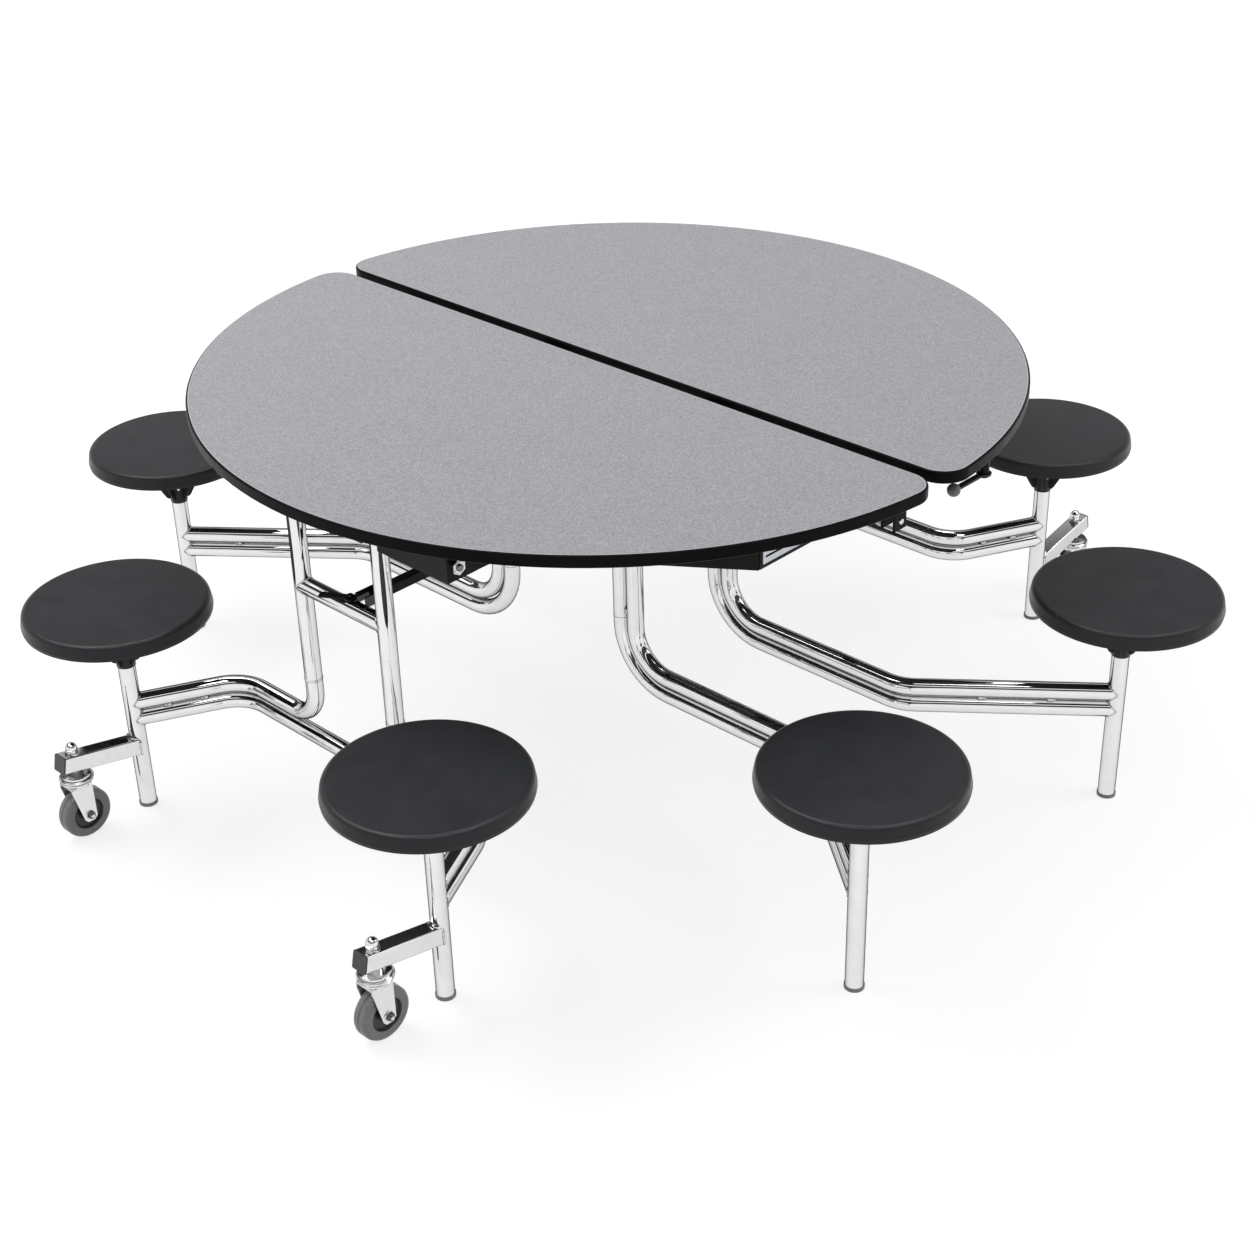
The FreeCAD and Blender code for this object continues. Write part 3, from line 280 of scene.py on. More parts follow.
def backed_board():
    """Chipboard with a dark backing sheet over its underside."""
    shader = Shader("particleboard", (0.04, 0.04, 0.042), 0.6, specular=0.3)
    chips = shader.noise(260, 4, 0.75)
    wood = shader.ramp(chips, [
        (0.3, (0.3, 0.22, 0.13)),
        (0.52, (0.48, 0.37, 0.24)),
        (0.75, (0.62, 0.5, 0.35)),
    ])
    backing = shader.ramp(chips, [(0.3, (0.03, 0.03, 0.032)), (0.7, (0.045, 0.045, 0.048))])
    _, _, height = shader.axes()
    shader.colour(shader.mix(shader.rise(height, BACKING_TOP, 0.4 * MM), backing, wood))
    shader.bump(chips, 0.15, 0.0003)
    return shader.material


def painted_steel(name, special=None, specular=0.12):
    """Black enamelled steel; "special" gives the mask and the colours of a part in another material."""
    shader = Shader(name, (0.009, 0.009, 0.0095), 0.34, specular=specular)
    cloud = shader.noise(22, 3, 0.6)
    paint = shader.ramp(cloud, [(0.3, (0.006, 0.006, 0.0065)), (0.72, (0.012, 0.012, 0.0125))])
    if special:
        mask, first, second = special(shader)
        paint = shader.mix(mask, paint, shader.ramp(cloud, [(0.35, first), (0.65, second)]))
    shader.colour(paint)
    shader.rough(shader.map_range(cloud, 0.3, 0.7, 0.28, 0.4))
    shader.bump(shader.noise(1600, 2, 0.55), 0.3, 0.00015)
    return shader.material


def lever_grip(shader):
    """The round grip at the free end of the release lever."""
    _, out, _ = shader.axes()
    return shader.fall(out, GRIP_END, 0.4 * MM), (0.13, 0.13, 0.135), (0.3, 0.3, 0.31)


def rubber_stop(shader):
    """The bumper that shares a sub-part with the hinge lugs."""
    _, out, _ = shader.axes()
    return shader.rise(out, STOP_START, 1 * MM), (0.09, 0.09, 0.092), (0.14, 0.14, 0.142)


def crossbar_bracket(shader):
    """The link's ears and the lock's stud on the crossbar, without the bright pin heads."""
    across, out, height = shader.axes()
    middle = shader.fall(across, BRACKET_REACH, 1 * MM)
    aside = shader.math("ABSOLUTE", shader.math("SUBTRACT", across, LINK_X))
    ears = shader.fall(aside, EAR_REACH, 0.3 * MM)
    stud = shader.rise(aside, STUD_START, 0.4 * MM)
    above = shader.rise(height, BRACKET_BOTTOM, 0.4 * MM)
    inside = shader.fall(out, BRACKET_INSIDE, 0.4 * MM)
    bracket = shader.math("MULTIPLY", middle, shader.math("MAXIMUM", above, inside))
    return shader.math("MULTIPLY", bracket, shader.math("MAXIMUM", ears, stud))


def axle_bolt(shader):
    """The head and nut of the axle bolt, outside the fork's cheeks."""
    across, _, height = shader.axes()
    aside = shader.math("ABSOLUTE", shader.math("SUBTRACT", across, AXLE.x))
    outside = shader.rise(aside, FORK_SIDE + 0.1 * MM, 0.2 * MM)
    return shader.math("MULTIPLY", outside, shader.fall(height, AXLE_BOLT_TOP, 1 * MM))


MATERIALS = {
    "grey_laminate": laminate(),
    # The pale colour of the flat strip at the laminate's edge is a painted highlight.
    "laminate_edge_highlight": moulded(
        "laminate_edge_highlight", dark=(0.56, 0.555, 0.575), light=(0.62, 0.615, 0.635),
        smooth=0.35, rough=0.42, grain=700, depth=0.0001,
    ),
    "particleboard": backed_board(),
    "black_urethane": moulded(
        "black_urethane", dark=(0.003, 0.003, 0.0033), light=(0.005, 0.005, 0.0054),
        smooth=0.3, rough=0.4, grain=900, depth=0.0001, specular=0.06,
    ),
    "seat_plastic": moulded(
        "seat_plastic", dark=(0.0315, 0.0325, 0.0355), light=(0.036, 0.0372, 0.0405),
        smooth=0.3, rough=0.38, grain=1300, depth=0.00015, specular=0.18,
    ),
    "black_plastic": moulded(
        "black_plastic", dark=(0.022, 0.023, 0.025), light=(0.034, 0.035, 0.038),
        smooth=0.3, rough=0.4, grain=900, depth=0.0002,
    ),
    "nylon": moulded(
        "nylon", dark=(0.26, 0.255, 0.25), light=(0.34, 0.335, 0.325),
        smooth=0.4, rough=0.55, grain=700, depth=0.0002,
    ),
    "caster_rubber": wheel_rubber(),
    "black_steel": painted_steel("black_steel"),
    "lug_steel": painted_steel("lug_steel", rubber_stop),
    "lever_steel": painted_steel("lever_steel", lever_grip, specular=0.5),
    "chrome": plated("chrome", CHROME, smooth=0.03, rough=0.075),
    "post_chrome": plated(
        "post_chrome", CHROME, smooth=0.03, rough=0.075,
        dark_place=crossbar_bracket, dark=DARK_STEEL,
    ),
    "cap_chrome": plated("cap_chrome", CHROME, smooth=0.05, rough=0.1),
    "zinc": plated("zinc", ZINC, smooth=0.12, rough=0.24, wear=90, grain=700),
    "fork_zinc": plated(
        "fork_zinc", ZINC, smooth=0.2, rough=0.3, dark_place=axle_bolt, dark=DARK_ZINC,
    ),
    "thread_steel": plated("thread_steel", (0.25, 0.25, 0.26), smooth=0.25, rough=0.4, wear=120),
    "galvanised": plated(
        "galvanised", (0.62, 0.64, 0.68), smooth=0.3, rough=0.42, wear=60, grain=500,
    ),
    "weld": plated("weld", (0.66, 0.66, 0.66), smooth=0.12, rough=0.28, wear=300, grain=900),
}
MATERIALS["lock_steel"] = MATERIALS["link_steel"] = MATERIALS["black_steel"]
SPECIAL_NODES = {"hinge_lugs": "lug_steel", "post_tubes": "post_chrome", "caster_fork": "fork_zinc"}


def finish_node(name, slot):
    """Give a sub-part its slot's material, or the one made for that kind of sub-part."""
    for ending, special in SPECIAL_NODES.items():
        if name.endswith(ending):
            slot = special
    mesh = nodes[name].data
    mesh.materials.clear()
    mesh.materials.append(MATERIALS[slot])


for subpart in frame["record"]["subparts"]:
    finish_node(subpart["node"], subpart["material_slot"])


# --- shapes that small pieces are made of ---------------------------------------

SHARP_ANGLE = math.radians(35)
BEAD_SIDES = 8
BEAD_WAVE = 2.1
BEAD_TIP = 0.35
SADDLE_STEPS = 40
LATHE_SIDES = 48
# (radius, height) points for a head of radius 1.
PAN_HEAD = ((0, -0.2), (1, -0.2), (1, 0.15), (0.86, 0.42), (0.5, 0.58), (0.28, 0.5), (0, 0.32))
PAN_HEAD_SIDES = 20


class Pieces:
    """Small solids gathered into one mesh that rides on one body."""

    def __init__(self):
        self.mesh = bmesh.new()

    def add(self, other, place=Matrix.Identity(4)):
        """Move a solid to its place and take it in; the solid itself is used up."""
        other.transform(place)
        scratch = bpy.data.meshes.new("scratch")
        other.to_mesh(scratch)
        other.free()
        self.mesh.from_mesh(scratch)
        bpy.data.meshes.remove(scratch)

    def finish(self, name, body, material, slot):
        mesh = bpy.data.meshes.new(name)
        bmesh.ops.recalc_face_normals(self.mesh, faces=self.mesh.faces)
        self.mesh.to_mesh(mesh)
        self.mesh.free()
        piece = bpy.data.objects.new(name, mesh)
        bpy.context.scene.collection.objects.link(piece)
        for polygon in mesh.polygons:
            polygon.use_smooth = True
        mesh.set_sharp_from_angle(angle=SHARP_ANGLE)
        mesh.materials.append(MATERIALS[material])
        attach(piece, body)


def in_mm(*points):
    """(radius, height) points from millimetres."""
    return [(a * MM, b * MM) for a, b in points]


def at_z(vector, height):
    return Vector((vector.x, vector.y, height))


def flip(vector, x_sign, y_sign):
    return Vector((vector.x * x_sign, vector.y * y_sign, vector.z))


def circle(radius, height, steps):
    """The points of a level circle about Z."""
    angles = (2 * math.pi * k / steps for k in range(steps))
    return [(radius * math.cos(a), radius * math.sin(a), height) for a in angles]


def skin(mesh, ring, next_ring):
    """Join two rings that have the same number of points."""
    count = len(ring)
    for k in range(count):
        after = (k + 1) % count
        mesh.faces.new((ring[k], ring[after], next_ring[after], next_ring[k]))


def bead(points, radius, ripple=0.18, closed=True):
    """A weld bead: a rippled round strip along a line of points."""
    mesh = bmesh.new()
    count = len(points)
    rings = []
    for i, point in enumerate(points):
        before = points[(i - 1) % count] if closed or i else point
        after = points[(i + 1) % count] if closed or i < count - 1 else point
        heading = (after - before).normalized()
        side = heading.cross(Vector((0, 0, 1)))
        if side.length < 1e-3:
            side = heading.cross(Vector((1, 0, 0)))
        side.normalize()
        up = side.cross(heading)
        size = radius * (1 + ripple * math.sin(i * BEAD_WAVE))
        if not closed and i in (0, count - 1):
            size *= BEAD_TIP
        ring = []
        for k in range(BEAD_SIDES):
            angle = 2 * math.pi * k / BEAD_SIDES
            aside = side * (size * math.cos(angle)) + up * (size * math.sin(angle))
            ring.append(mesh.verts.new(point + aside))
        rings.append(ring)
    for i in range(count if closed else count - 1):
        skin(mesh, rings[i], rings[(i + 1) % count])
    if not closed:
        mesh.faces.new(rings[0][::-1])
        mesh.faces.new(rings[-1])
    return mesh


def saddle(axis_point, towards):
    """The line where a tube meets an upright tube of the same size."""
    towards = towards.normalized()
    side = Vector((-towards.y, towards.x, 0))
    line = []
    for i in range(SADDLE_STEPS):
        angle = 2 * math.pi * i / SADDLE_STEPS
        across = TUBE * math.cos(angle)
        out = math.sqrt(max(TUBE * TUBE - across * across, 0))
        above = Vector((0, 0, TUBE * math.sin(angle)))
        line.append(axis_point + towards * out + side * across + above)
    return line


def turned(profile, sides):
    """A solid turned about Z from (radius, height) pairs that start and end on the axis."""
    mesh = bmesh.new()
    rings = []
    for radius, height in profile:
        points = circle(radius, height, sides) if radius else [(0, 0, height)]
        rings.append([mesh.verts.new(point) for point in points])
    for lower, upper in zip(rings, rings[1:]):
        if len(lower) == len(upper):
            skin(mesh, lower, upper)
            continue
        for k in range(sides):
            after = (k + 1) % sides
            if len(lower) == 1:
                mesh.faces.new((lower[0], upper[after], upper[k]))
            else:
                mesh.faces.new((lower[k], lower[after], upper[0]))
    return mesh


def lathe(profile):
    """A ring turned about Z from a closed outline of (radius, height) points."""
    mesh = bmesh.new()
    rings = [[mesh.verts.new(point) for point in circle(radius, height, LATHE_SIDES)]
             for radius, height in profile]
    for lower, upper in zip(rings, rings[1:] + rings[:1]):
        skin(mesh, lower, upper)
    return mesh


def break_edges(mesh, thickness):
    """Bevel every edge by a fifth of the thickness."""
    bmesh.ops.bevel(mesh, geom=mesh.edges[:], offset=thickness * 0.2, segments=2, affect="EDGES")


def plate(outline, thickness):
    """A flat plate in the XZ plane from an outline of (x, z) points, with its edges broken."""
    mesh = bmesh.new()
    near, far = ([mesh.verts.new((x, side * thickness / 2, z)) for x, z in outline] for side in (-1, 1))
    mesh.faces.new(near)
    mesh.faces.new(far[::-1])
    count = len(outline)
    for i in range(count):
        after = (i + 1) % count
        mesh.faces.new((near[after], near[i], far[i], far[after]))
    break_edges(mesh, thickness)
    return mesh


def slab(low, high):
    """A block between two corners, with its edges broken."""
    mesh = bmesh.new()
    low, high = Vector(low), Vector(high)
    bmesh.ops.create_cube(mesh, size=1)
    bmesh.ops.scale(mesh, vec=high - low, verts=mesh.verts)
    bmesh.ops.translate(mesh, vec=(low + high) / 2, verts=mesh.verts)
    break_edges(mesh, min(high - low))
    return mesh


def facing(point, direction):
    """Put a piece that stands along +Z at a point, along a direction."""
    turn = Vector(direction).to_track_quat("Z", "Y").to_matrix().to_4x4()
    return Matrix.Translation(point) @ turn


def pan_head(radius):
    """A small domed screw head with a dimple for its recess."""
    return turned([(across * radius, height * radius) for across, height in PAN_HEAD], PAN_HEAD_SIDES)


# --- welds ----------------------------------------------------------------------

SADDLE_BEAD = 1.7 * MM
SWAGE_BEAD = 0.7 * MM
TACK_BEAD = 3.2 * MM
TACK_REACH = 8 * MM
TACK_SIDE = 5.2 * MM
TACK_STEPS = (-1, -0.6, -0.2, 0.2, 0.6, 1)
TACK_SHARES = (0.3, 0.62)
SWAGE_STEPS = 48
POST_SWAGES = (309 * MM, 312.5 * MM)
RISER_SWAGE = 316 * MM
RISER_TACKS = (330 * MM, 590 * MM)

# The beads round a square arm's root; the shares are of the arm's half width or the tube's radius.
ROOT_TOP_BEAD = 3.4 * MM
ROOT_BOTTOM_BEAD = 2.2 * MM
ROOT_SIDE_BEAD = 3 * MM
ROOT_OUT = 1.2 * MM
ROOT_LIFT = 1 * MM
ROOT_TOP_REACH = 0.86
ROOT_SIDE_REACH = 0.92
ROOT_SIDE_OUT = 0.42
ROOT_STEPS = 10
ROOT_SIDE_STEPS = 8


def tack(centre, heading):
    """A short weld that joins two tubes lying side by side."""
    line = [centre + heading * (step * TACK_REACH) for step in TACK_STEPS]
    return bead(line, TACK_BEAD, closed=False)


def swage(centre):
    """The fine raised ring round an upright tube."""
    line = [centre + Vector(point) for point in circle(TUBE, 0, SWAGE_STEPS)]
    return bead(line, SWAGE_BEAD, ripple=0)


def tube_welds(welds, leg, corner, x_sign, y_sign):
    """The beads where both stacked tubes meet a leg, and the tacks that join the two tubes."""
    towards = flip(at_z(corner - leg, 0), x_sign, y_sign)
    foot = flip(leg, x_sign, y_sign)
    for height in (UPPER_TUBE_Z, LOWER_TUBE_Z):
        welds.add(bead(saddle(at_z(foot, height), towards), SADDLE_BEAD))
    run = towards.length
    heading = towards.normalized()
    side = Vector((-heading.y, heading.x, 0))
    middle = (UPPER_TUBE_Z + LOWER_TUBE_Z) / 2
    for share in TACK_SHARES:
        for face in (-1, 1):
            centre = at_z(foot + heading * (run * share) + side * (TACK_SIDE * face), middle)
            welds.add(tack(centre, heading))


def arm_root_welds(welds, leg, sign):
    """The bead round the square arm's root, with a heavier run along its top."""
    half = ARM_SIDE / 2
    top = (ARM_TOP + ROOT_LIFT, ROOT_TOP_BEAD, 0.3)
    bottom = (ARM_TOP - ARM_SIDE - ROOT_LIFT, ROOT_BOTTOM_BEAD, 0.2)
    for height, size, ripple in (top, bottom):
        line = []
        for i in range(ROOT_STEPS + 1):
            across = half * ROOT_TOP_REACH * (2 * i / ROOT_STEPS - 1)
            out = math.sqrt(max(TUBE * TUBE - across * across, 0)) + ROOT_OUT
            level = height + out * math.tan(ARM_TILT)
            line.append(at_z(leg, level) + Vector((across, out * sign, 0)))
        welds.add(bead(line, size, ripple, closed=False))
    for side in (-1, 1):
        aside = Vector((side * half * ROOT_SIDE_REACH, TUBE * ROOT_SIDE_OUT * sign, 0))
        levels = (ARM_TOP - ARM_SIDE * i / ROOT_SIDE_STEPS for i in range(ROOT_SIDE_STEPS + 1))
        line = [at_z(leg, level) + aside for level in levels]
        welds.add(bead(line, ROOT_SIDE_BEAD, closed=False))


def frame_welds(half, sign):
    """The welds and the posts' rings of an outer frame."""
    welds = Pieces()
    for x_sign in (-1, 1):
        tube_welds(welds, MIDDLE_LEG, FRAME_CORNER, x_sign, sign)
        post = Vector((POST_X * x_sign, PIVOT.y * sign, CROSSBAR_Z))
        welds.add(bead(saddle(post, Vector((-x_sign, 0, 0))), SADDLE_BEAD))
        arm_root_welds(welds, flip(MIDDLE_LEG, x_sign, sign), sign)
        for height in POST_SWAGES:
            welds.add(swage(at_z(post, height)))
    welds.finish(f"{half}_frame_welds", f"{half}_frame", "weld", "chrome")


def centre_welds():
    """The welds and the inner risers' rings of the centre frame."""
    welds = Pieces()
    for _, x_sign, y_sign in CORNERS:
        tube_welds(welds, SEAM_LEG, ARM_CORNER, x_sign, y_sign)
        between = sum(RISERS) / 2 * x_sign
        for height in RISER_TACKS:
            for face in (-1, 1):
                centre = Vector((between, RISER_LINE * y_sign + TACK_SIDE * face, height))
                welds.add(tack(centre, Vector((0, 0, 1))))
        welds.add(swage(Vector((RISERS[0] * x_sign, RISER_LINE * y_sign, RISER_SWAGE))))
    welds.finish("centre_frame_welds", "centre_frame", "weld", "chrome")


# --- the tops -------------------------------------------------------------------

RIVET = 1.6 * MM
RIVETS = ((0.045, 686 * MM), (0.06, 690 * MM))
RIVET_OUT = 1.5 * MM

CATCH = Vector((735, 85, 688)) * MM
CATCH_GAP = 24 * MM
CATCH_HALF = 16 * MM
CATCH_BOTTOM = 672 * MM
CATCH_TOP = TOP_UNDERSIDE + 0.5 * MM
CATCH_PLATE = 4 * MM
CATCH_BOLT = 5.5 * MM
CATCH_BOLT_OUT = 3 * MM

CHEEK = 3 * MM

# The outline of the flat strip at the laminate's edge, whose pale colour is a painted highlight, as (inset, height
# over the top) in millimetres.
BEVEL = ((0, -0.3), (0, 0.12), (1.3, 0.12), (1.3, -0.3))
ARC_STEPS = 180
CORNER_STEPS = 16
SEAM_STEPS = 24


def top_fixings(half, sign):
    """The rivets of the skirt's bend, and the bolt of the catch at one seam corner."""
    bright = Pieces()
    for side in (-1, 1):
        bend = Vector((SKIRT_X * side, SKIRT_BEND * sign, 0))
        run = Vector((CHANNEL_HIGH.x * side, SKIRT_START * sign, 0)) - bend
        outward = Vector((-run.y, run.x, 0)).normalized()
        if outward.x * side < 0:
            outward = -outward
        for share, height in RIVETS:
            spot = at_z(bend + run * share, height) + outward * RIVET_OUT
            bright.add(pan_head(RIVET), facing(spot, outward))
    bolt = Vector((-sign * (CATCH.x + CATCH_BOLT_OUT), sign * CATCH.y, CATCH.z))
    bright.add(pan_head(CATCH_BOLT), facing(bolt, (-sign, 0, 0)))
    bright.finish(f"{half}_top_fixings", f"{half}_top", "zinc", "zinc")


def seam_catch(half, sign):
    """The bracket of two ears under one seam corner of a half top."""
    catch = Pieces()
    outer, y = -sign * CATCH.x, sign * CATCH.y
    inner = outer + sign * CATCH_GAP
    for ear in (outer, inner):
        catch.add(slab((ear - CATCH_PLATE / 2, y - CATCH_HALF, CATCH_BOTTOM),
                       (ear + CATCH_PLATE / 2, y + CATCH_HALF, CATCH_TOP)))
    catch.add(slab((min(outer, inner), y - CATCH_HALF, CATCH_TOP - CATCH_PLATE),
                   (max(outer, inner), y + CATCH_HALF, CATCH_TOP)))
    catch.finish(f"{half}_seam_catch", f"{half}_top", "black_steel", "black_steel")


def channel_cheeks(half, sign):
    """The plates that run on inward from the channel's ends to the skirt."""
    cheeks = Pieces()
    for side in (-1, 1):
        x_low, x_high = sorted((side * (CHANNEL_HIGH.x - CHEEK), side * CHANNEL_HIGH.x))
        y_low, y_high = sorted((sign * CHANNEL_LOW.y, sign * SKIRT_START))
        cheeks.add(slab((x_low, y_low, CHANNEL_LOW.z), (x_high, y_high, TOP_UNDERSIDE)))
    cheeks.finish(f"{half}_channel_cheeks", f"{half}_top", "black_steel", "black_steel")


def arc(centre_x, centre_y, radius, start, end, steps):
    """Points along an arc, without its last one."""
    angles = (start + (end - start) * i / steps for i in range(steps))
    return [(centre_x + radius * math.cos(a), centre_y + radius * math.sin(a)) for a in angles]


def laminate_outline(inset):
    """The outline of a half laminate in plan, anticlockwise, drawn on the rear half."""
    radius = LAMINATE_RADIUS - inset
    seam = LAMINATE_SEAM + inset
    corner = LAMINATE_CORNER - inset
    out = seam + corner
    across = math.sqrt((radius - corner) ** 2 - out ** 2)
    slope = math.atan2(out, across)
    line = arc(0, 0, radius, slope, math.pi - slope, ARC_STEPS)
    line += arc(-across, out, corner, math.pi - slope, 1.5 * math.pi, CORNER_STEPS)
    line += [(-across + 2 * across * i / SEAM_STEPS, seam) for i in range(SEAM_STEPS)]
    line += arc(across, out, corner, -math.pi / 2, slope, CORNER_STEPS)
    return line


def laminate_highlight_strip(half, sign):
    """A flat strip round the laminate sheet's edge, coloured pale as a painted highlight."""
    mesh = bmesh.new()
    rings = []
    for inset, height in BEVEL:
        outline = laminate_outline(inset * MM)
        level = TOP_Z + height * MM
        rings.append([mesh.verts.new((x * sign, y * sign, level)) for x, y in outline])
    for ring, next_ring in zip(rings, rings[1:] + rings[:1]):
        skin(mesh, ring, next_ring)
    line = Pieces()
    line.add(mesh)
    line.finish(f"{half}_laminate_highlight_strip", f"{half}_top", "laminate_edge_highlight", "grey_laminate")


# --- stools ---------------------------------------------------------------------

HUB_RIBS = 6
RIB = 3 * MM
RIB_OUTLINE = in_mm((17, 306), (23, 308), (26, 312), (38, 333), (62, 407), (19.5, 407), (19.2, 352))
SOCKET_BORE = TUBE + 0.25 * MM
SOCKET_BOTTOM = 300 * MM
SOCKET_TOP = SEAT_HUB_BOTTOM + 1 * MM
SOCKET_SIDE = in_mm((17, 300), (17.4, 300.6), (19.6, 352))
SOCKET_RADIUS = 19.6 * MM
SCREW = 3.2 * MM
SCREW_Z = 334 * MM
SCREW_OUT = 19 * MM


def stool_hub(name):
    """The ribbed socket that carries a stool on its leg, and its retaining screw."""
    low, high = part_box(name)
    centre = at_z((low + high) / 2, 0)
    place = Matrix.Translation(centre)
    hub = Pieces()
    hub.add(lathe([
        (SOCKET_BORE, SOCKET_BOTTOM),
        *SOCKET_SIDE,
        (SOCKET_RADIUS, SOCKET_TOP),
        (SOCKET_BORE, SOCKET_TOP),
    ]), place)
    for i in range(HUB_RIBS):
        turn = Matrix.Rotation(2 * math.pi * i / HUB_RIBS, 4, "Z")
        hub.add(plate(RIB_OUTLINE, RIB), place @ turn)
    hub.finish(f"{name}_hub", name, "seat_plastic", "seat_plastic")

    between_ribs = -math.pi / HUB_RIBS
    outward = Vector((math.cos(between_ribs), math.sin(between_ribs), 0))
    screw = Pieces()
    screw.add(pan_head(SCREW), facing(at_z(centre, SCREW_Z) + outward * SCREW_OUT, outward))
    screw.finish(f"{name}_screw", name, "zinc", "seat_plastic")


# --- nuts, bolts and shaft ends -------------------------------------------------

CAP_RADIUS = 10.3 * MM
CAP_CENTRE = 187.8 * MM
CAP_SKIRT = in_mm((0, 177.4), (9.4, 177.4), (9.8, 178.2), (9.2, 179.4))
CAP_START = -48
CAP_STEPS = 14
CAP_SIDES = 32

NUT_CHAMFER = in_mm((0, -0.2), (11.2, -0.2), (10.2, 0.7), (0, 0.7))
NUT_SIDES = 40

# The threaded end of the pivot shaft, in millimetres from the nut's face.
THREAD_START = 0.5
THREAD_FIRST = 0.9
THREAD_END = 4.2
THREAD_RADIUS = 6.2
THREAD_ROOT = 5.7
THREAD_TIP = 5
THREAD_PITCH = 0.8
THREADS = 4
THREAD_SIDES = 28

WASHER = in_mm((0, 0), (9, 0), (9, 1.2), (0, 1.2))
AXLE_END = in_mm((0, 4.8), (3.4, 4.8), (3.4, 7.4), (2.6, 8), (0, 8))
AXLE_SEAT = 0.05 * MM
WASHER_SIDES = 28
AXLE_END_SIDES = 20


def stem_caps(half, sign):
    """The ball-headed cap nut over each caster's stem."""
    profile = list(CAP_SKIRT)
    for i in range(CAP_STEPS):
        angle = math.radians(CAP_START + (90 - CAP_START) * i / CAP_STEPS)
        profile.append((CAP_RADIUS * math.cos(angle), CAP_CENTRE + CAP_RADIUS * math.sin(angle)))
    profile.append((0, CAP_CENTRE + CAP_RADIUS))
    caps = Pieces()
    for x_sign in (-1, 1):
        caps.add(turned(profile, CAP_SIDES), Matrix.Translation((AXLE.x * x_sign, STEM_LINE * sign, 0)))
    caps.finish(f"{half}_stem_caps", f"{half}_frame", "cap_chrome", "zinc")


def thread_profile():
    """The end of a threaded shaft, with its last few threads."""
    points = [(0, THREAD_START), (THREAD_RADIUS, THREAD_START)]
    for i in range(THREADS):
        crest = THREAD_FIRST + i * THREAD_PITCH
        points += [(THREAD_RADIUS, crest), (THREAD_ROOT, crest + THREAD_PITCH / 2)]
    points += [(THREAD_TIP, THREAD_END), (0, THREAD_END)]
    return in_mm(*points)


def pivot_ends(half, sign):
    """The chamfered face and the shaft's threaded end on each pivot nut."""
    faces, threads = Pieces(), Pieces()
    for side in (-1, 1):
        nut = facing(Vector((side * NUT_FACE, PIVOT.y * sign, PIVOT.z)), (side, 0, 0))
        faces.add(turned(NUT_CHAMFER, NUT_SIDES), nut)
        threads.add(turned(thread_profile(), THREAD_SIDES), nut)
    faces.finish(f"{half}_pivot_faces", f"{half}_frame", "zinc", "zinc")
    threads.finish(f"{half}_pivot_threads", f"{half}_frame", "thread_steel", "zinc")


def axle_fixings(name, x_sign, y_sign):
    """The washer and the threaded end at each side of a caster's axle bolt."""
    fixings = Pieces()
    axle = flip(AXLE, x_sign, y_sign)
    for side in (-1, 1):
        outside = Vector((side * (FORK_SIDE - AXLE_SEAT), 0, 0))
        for part in (turned(WASHER, WASHER_SIDES), turned(AXLE_END, AXLE_END_SIDES)):
            fixings.add(part, facing(axle + outside, (side, 0, 0)))
    fixings.finish(f"{name}_axle_fixings", f"{name}_fork", "zinc", "zinc")


for half, sign in HALVES:
    frame_welds(half, sign)
    top_fixings(half, sign)
    seam_catch(half, sign)
    channel_cheeks(half, sign)
    laminate_highlight_strip(half, sign)
    stem_caps(half, sign)
    pivot_ends(half, sign)
centre_welds()
for name, x_sign, y_sign in CORNERS:
    axle_fixings(name, x_sign, y_sign)
for seat in [node for node in nodes if node.startswith("seat_")]:
    stool_hub(seat)


# --- floor, light and camera ----------------------------------------------------

FLOOR_SIZE = 60
FLOOR_Z = -0.5 * MM
FLOOR_GLOW = 0.76
FLOOR_GREY = 0.38
WORLD_LIGHT = 0.6
# The surround as (sine of the elevation, brightness) pairs: white low down, and dark overhead
# with two bands that are brighter than white.
SURROUND = (
    (0.0, 1.0), (0.3, 1.0), (0.34, 0.07), (0.6, 0.05), (0.63, 1.2), (0.7, 1.2), (0.73, 0.05),
    (0.87, 0.05), (0.89, 7.0), (0.94, 7.0), (0.96, 0.3),
)

CAMERA_PLACE = Vector((2.54196, -2.55051, 2.24127))
CAMERA_AZIMUTH = math.radians(44.60)
CAMERA_ELEVATION = math.radians(29.85)
CAMERA_ROLL = math.radians(-1.60)
CAMERA_VIEW = math.radians(32.99)
CAMERA_SHIFT_X = 0.0014
CAMERA_SENSOR = 36


def seen_by_eye_or_metal(tree):
    """One for rays that show the background: to the camera, in a reflection or through glass."""
    path = tree.nodes.new("ShaderNodeLightPath")
    total = path.outputs["Is Camera Ray"]
    for name in ("Is Glossy Ray", "Is Transmission Ray"):
        add = tree.nodes.new("ShaderNodeMath")
        add.operation = "ADD"
        add.use_clamp = True
        tree.links.new(total, add.inputs[0])
        tree.links.new(path.outputs[name], add.inputs[1])
        total = add.outputs[0]
    return total


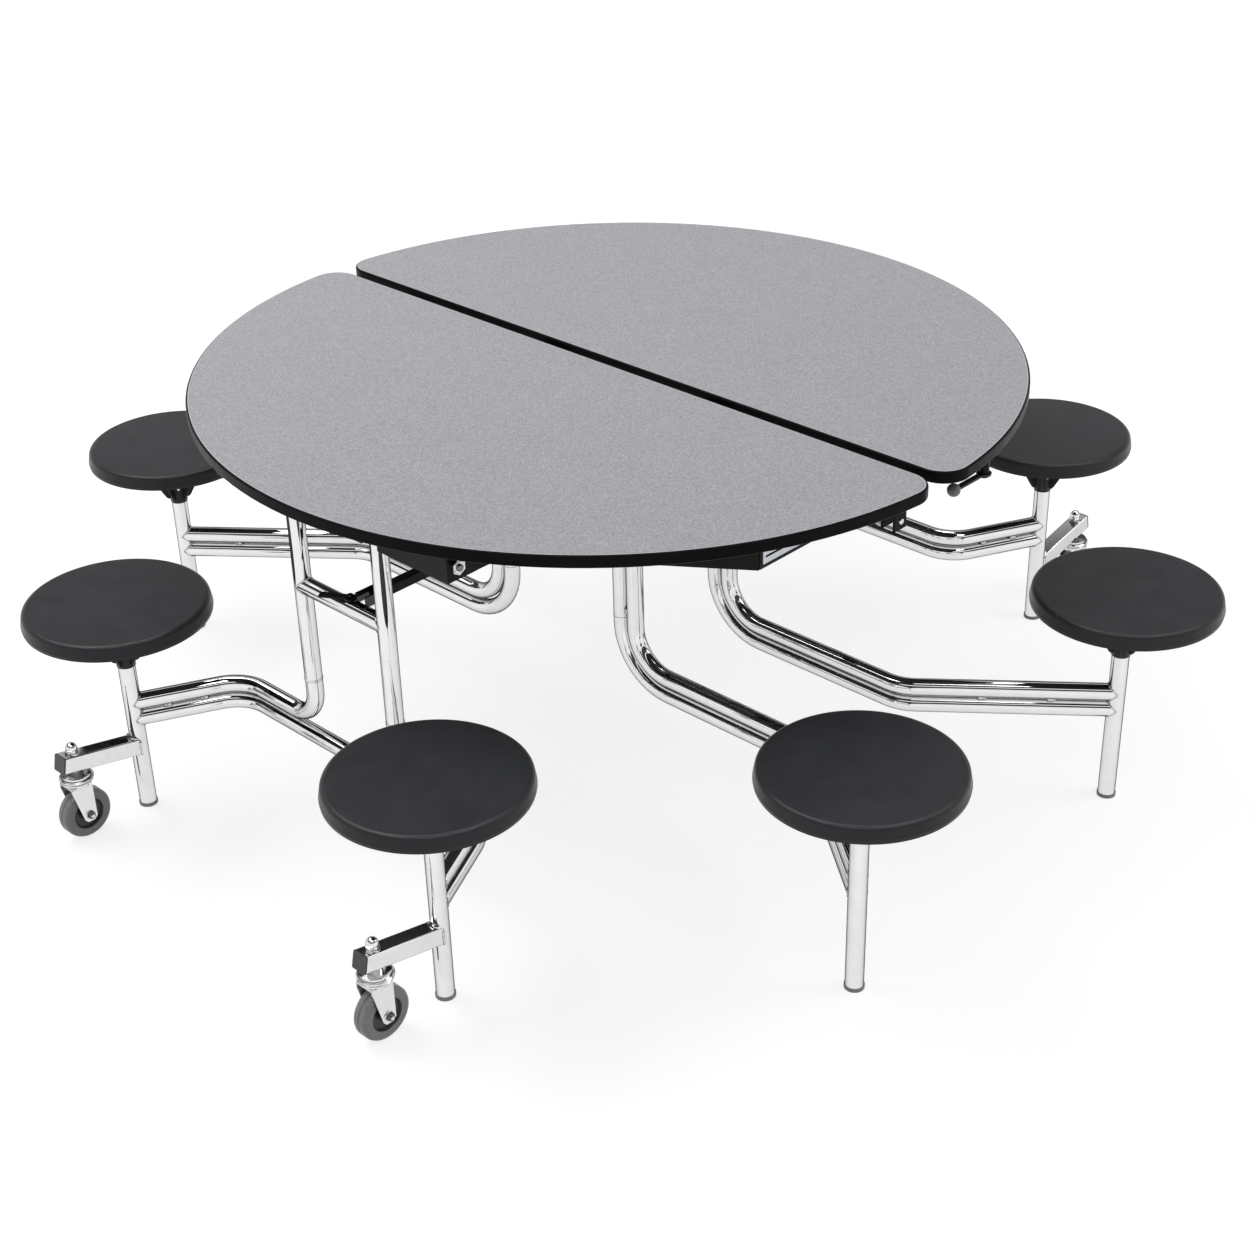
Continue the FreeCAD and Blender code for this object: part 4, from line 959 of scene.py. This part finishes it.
def studio_floor():
    """A plain floor that glows white to the eye and in metal, and keeps the object's shadow."""
    bpy.ops.mesh.primitive_plane_add(size=FLOOR_SIZE, location=(0, 0, FLOOR_Z))
    floor = bpy.context.object
    floor.name = "floor"
    material = bpy.data.materials.new("floor")
    material.use_nodes = True
    tree = material.node_tree
    tree.nodes.clear()
    add = tree.nodes.new
    link = tree.links.new
    output = add("ShaderNodeOutputMaterial")
    diffuse = add("ShaderNodeBsdfDiffuse")
    diffuse.inputs["Color"].default_value = (FLOOR_GREY, FLOOR_GREY, FLOOR_GREY, 1)
    glow = add("ShaderNodeEmission")
    glow.inputs["Color"].default_value = (1, 1, 1, 1)
    strength = add("ShaderNodeMath")
    strength.operation = "MULTIPLY"
    strength.inputs[1].default_value = FLOOR_GLOW
    link(seen_by_eye_or_metal(tree), strength.inputs[0])
    link(strength.outputs[0], glow.inputs["Strength"])
    both = add("ShaderNodeAddShader")
    link(diffuse.outputs[0], both.inputs[0])
    link(glow.outputs[0], both.inputs[1])
    link(both.outputs[0], output.inputs["Surface"])
    floor.data.materials.append(material)


def studio_world():
    """An even light on the object, and the surround that the eye and reflections see instead."""
    world = bpy.data.worlds.new("studio")
    bpy.context.scene.world = world
    world.use_nodes = True
    tree = world.node_tree
    tree.nodes.clear()
    add = tree.nodes.new
    link = tree.links.new
    output = add("ShaderNodeOutputWorld")
    light = add("ShaderNodeBackground")
    light.inputs["Color"].default_value = (1, 1, 1, 1)
    light.inputs["Strength"].default_value = WORLD_LIGHT
    room = add("ShaderNodeBackground")
    coords = add("ShaderNodeTexCoord")
    split = add("ShaderNodeSeparateXYZ")
    ramp = add("ShaderNodeValToRGB")
    elements = ramp.color_ramp.elements
    while len(elements) < len(SURROUND):
        elements.new(0.5)
    for element, (position, level) in zip(elements, SURROUND):
        element.position = position
        element.color = (level, level, level, 1)
    link(coords.outputs["Generated"], split.inputs[0])
    link(split.outputs["Z"], ramp.inputs["Fac"])
    link(ramp.outputs["Color"], room.inputs["Color"])
    mix = add("ShaderNodeMixShader")
    link(seen_by_eye_or_metal(tree), mix.inputs[0])
    link(light.outputs[0], mix.inputs[1])
    link(room.outputs[0], mix.inputs[2])
    link(mix.outputs[0], output.inputs["Surface"])


def soft_lamp(name, place, aim, size, power):
    """A square area lamp that points at a place."""
    data = bpy.data.lights.new(name, "AREA")
    data.shape = "SQUARE"
    data.size = size
    data.energy = power
    lamp = bpy.data.objects.new(name, data)
    lamp.location = place
    lamp.rotation_euler = (Vector(aim) - Vector(place)).to_track_quat("-Z", "Y").to_euler()
    bpy.context.scene.collection.objects.link(lamp)


def photo_camera():
    """The camera at the photograph's angle, with the photograph's slight roll."""
    across = math.cos(CAMERA_ELEVATION)
    back = Vector((
        math.sin(CAMERA_AZIMUTH) * across,
        -math.cos(CAMERA_AZIMUTH) * across,
        math.sin(CAMERA_ELEVATION),
    ))
    right = Vector((math.cos(CAMERA_AZIMUTH), math.sin(CAMERA_AZIMUTH), 0))
    up = back.cross(right)
    turned_right = right * math.cos(CAMERA_ROLL) + up * math.sin(CAMERA_ROLL)
    turned_up = up * math.cos(CAMERA_ROLL) - right * math.sin(CAMERA_ROLL)
    data = bpy.data.cameras.new("camera")
    data.sensor_width = CAMERA_SENSOR
    data.lens = CAMERA_SENSOR / 2 / math.tan(CAMERA_VIEW / 2)
    data.shift_x = CAMERA_SHIFT_X
    camera = bpy.data.objects.new("camera", data)
    matrix = Matrix((turned_right, turned_up, back)).transposed().to_4x4()
    matrix.translation = CAMERA_PLACE
    camera.matrix_world = matrix
    bpy.context.scene.collection.objects.link(camera)
    bpy.context.scene.camera = camera


studio_floor()
studio_world()
soft_lamp("key", place=(-2.2, -1.2, 4.2), aim=(0, 0, 0.5), size=2.6, power=75)
soft_lamp("fill", place=(3.2, 2.6, 3.6), aim=(0, 0, 0.4), size=2.2, power=40)
photo_camera()
bpy.context.scene.view_settings.view_transform = "Standard"
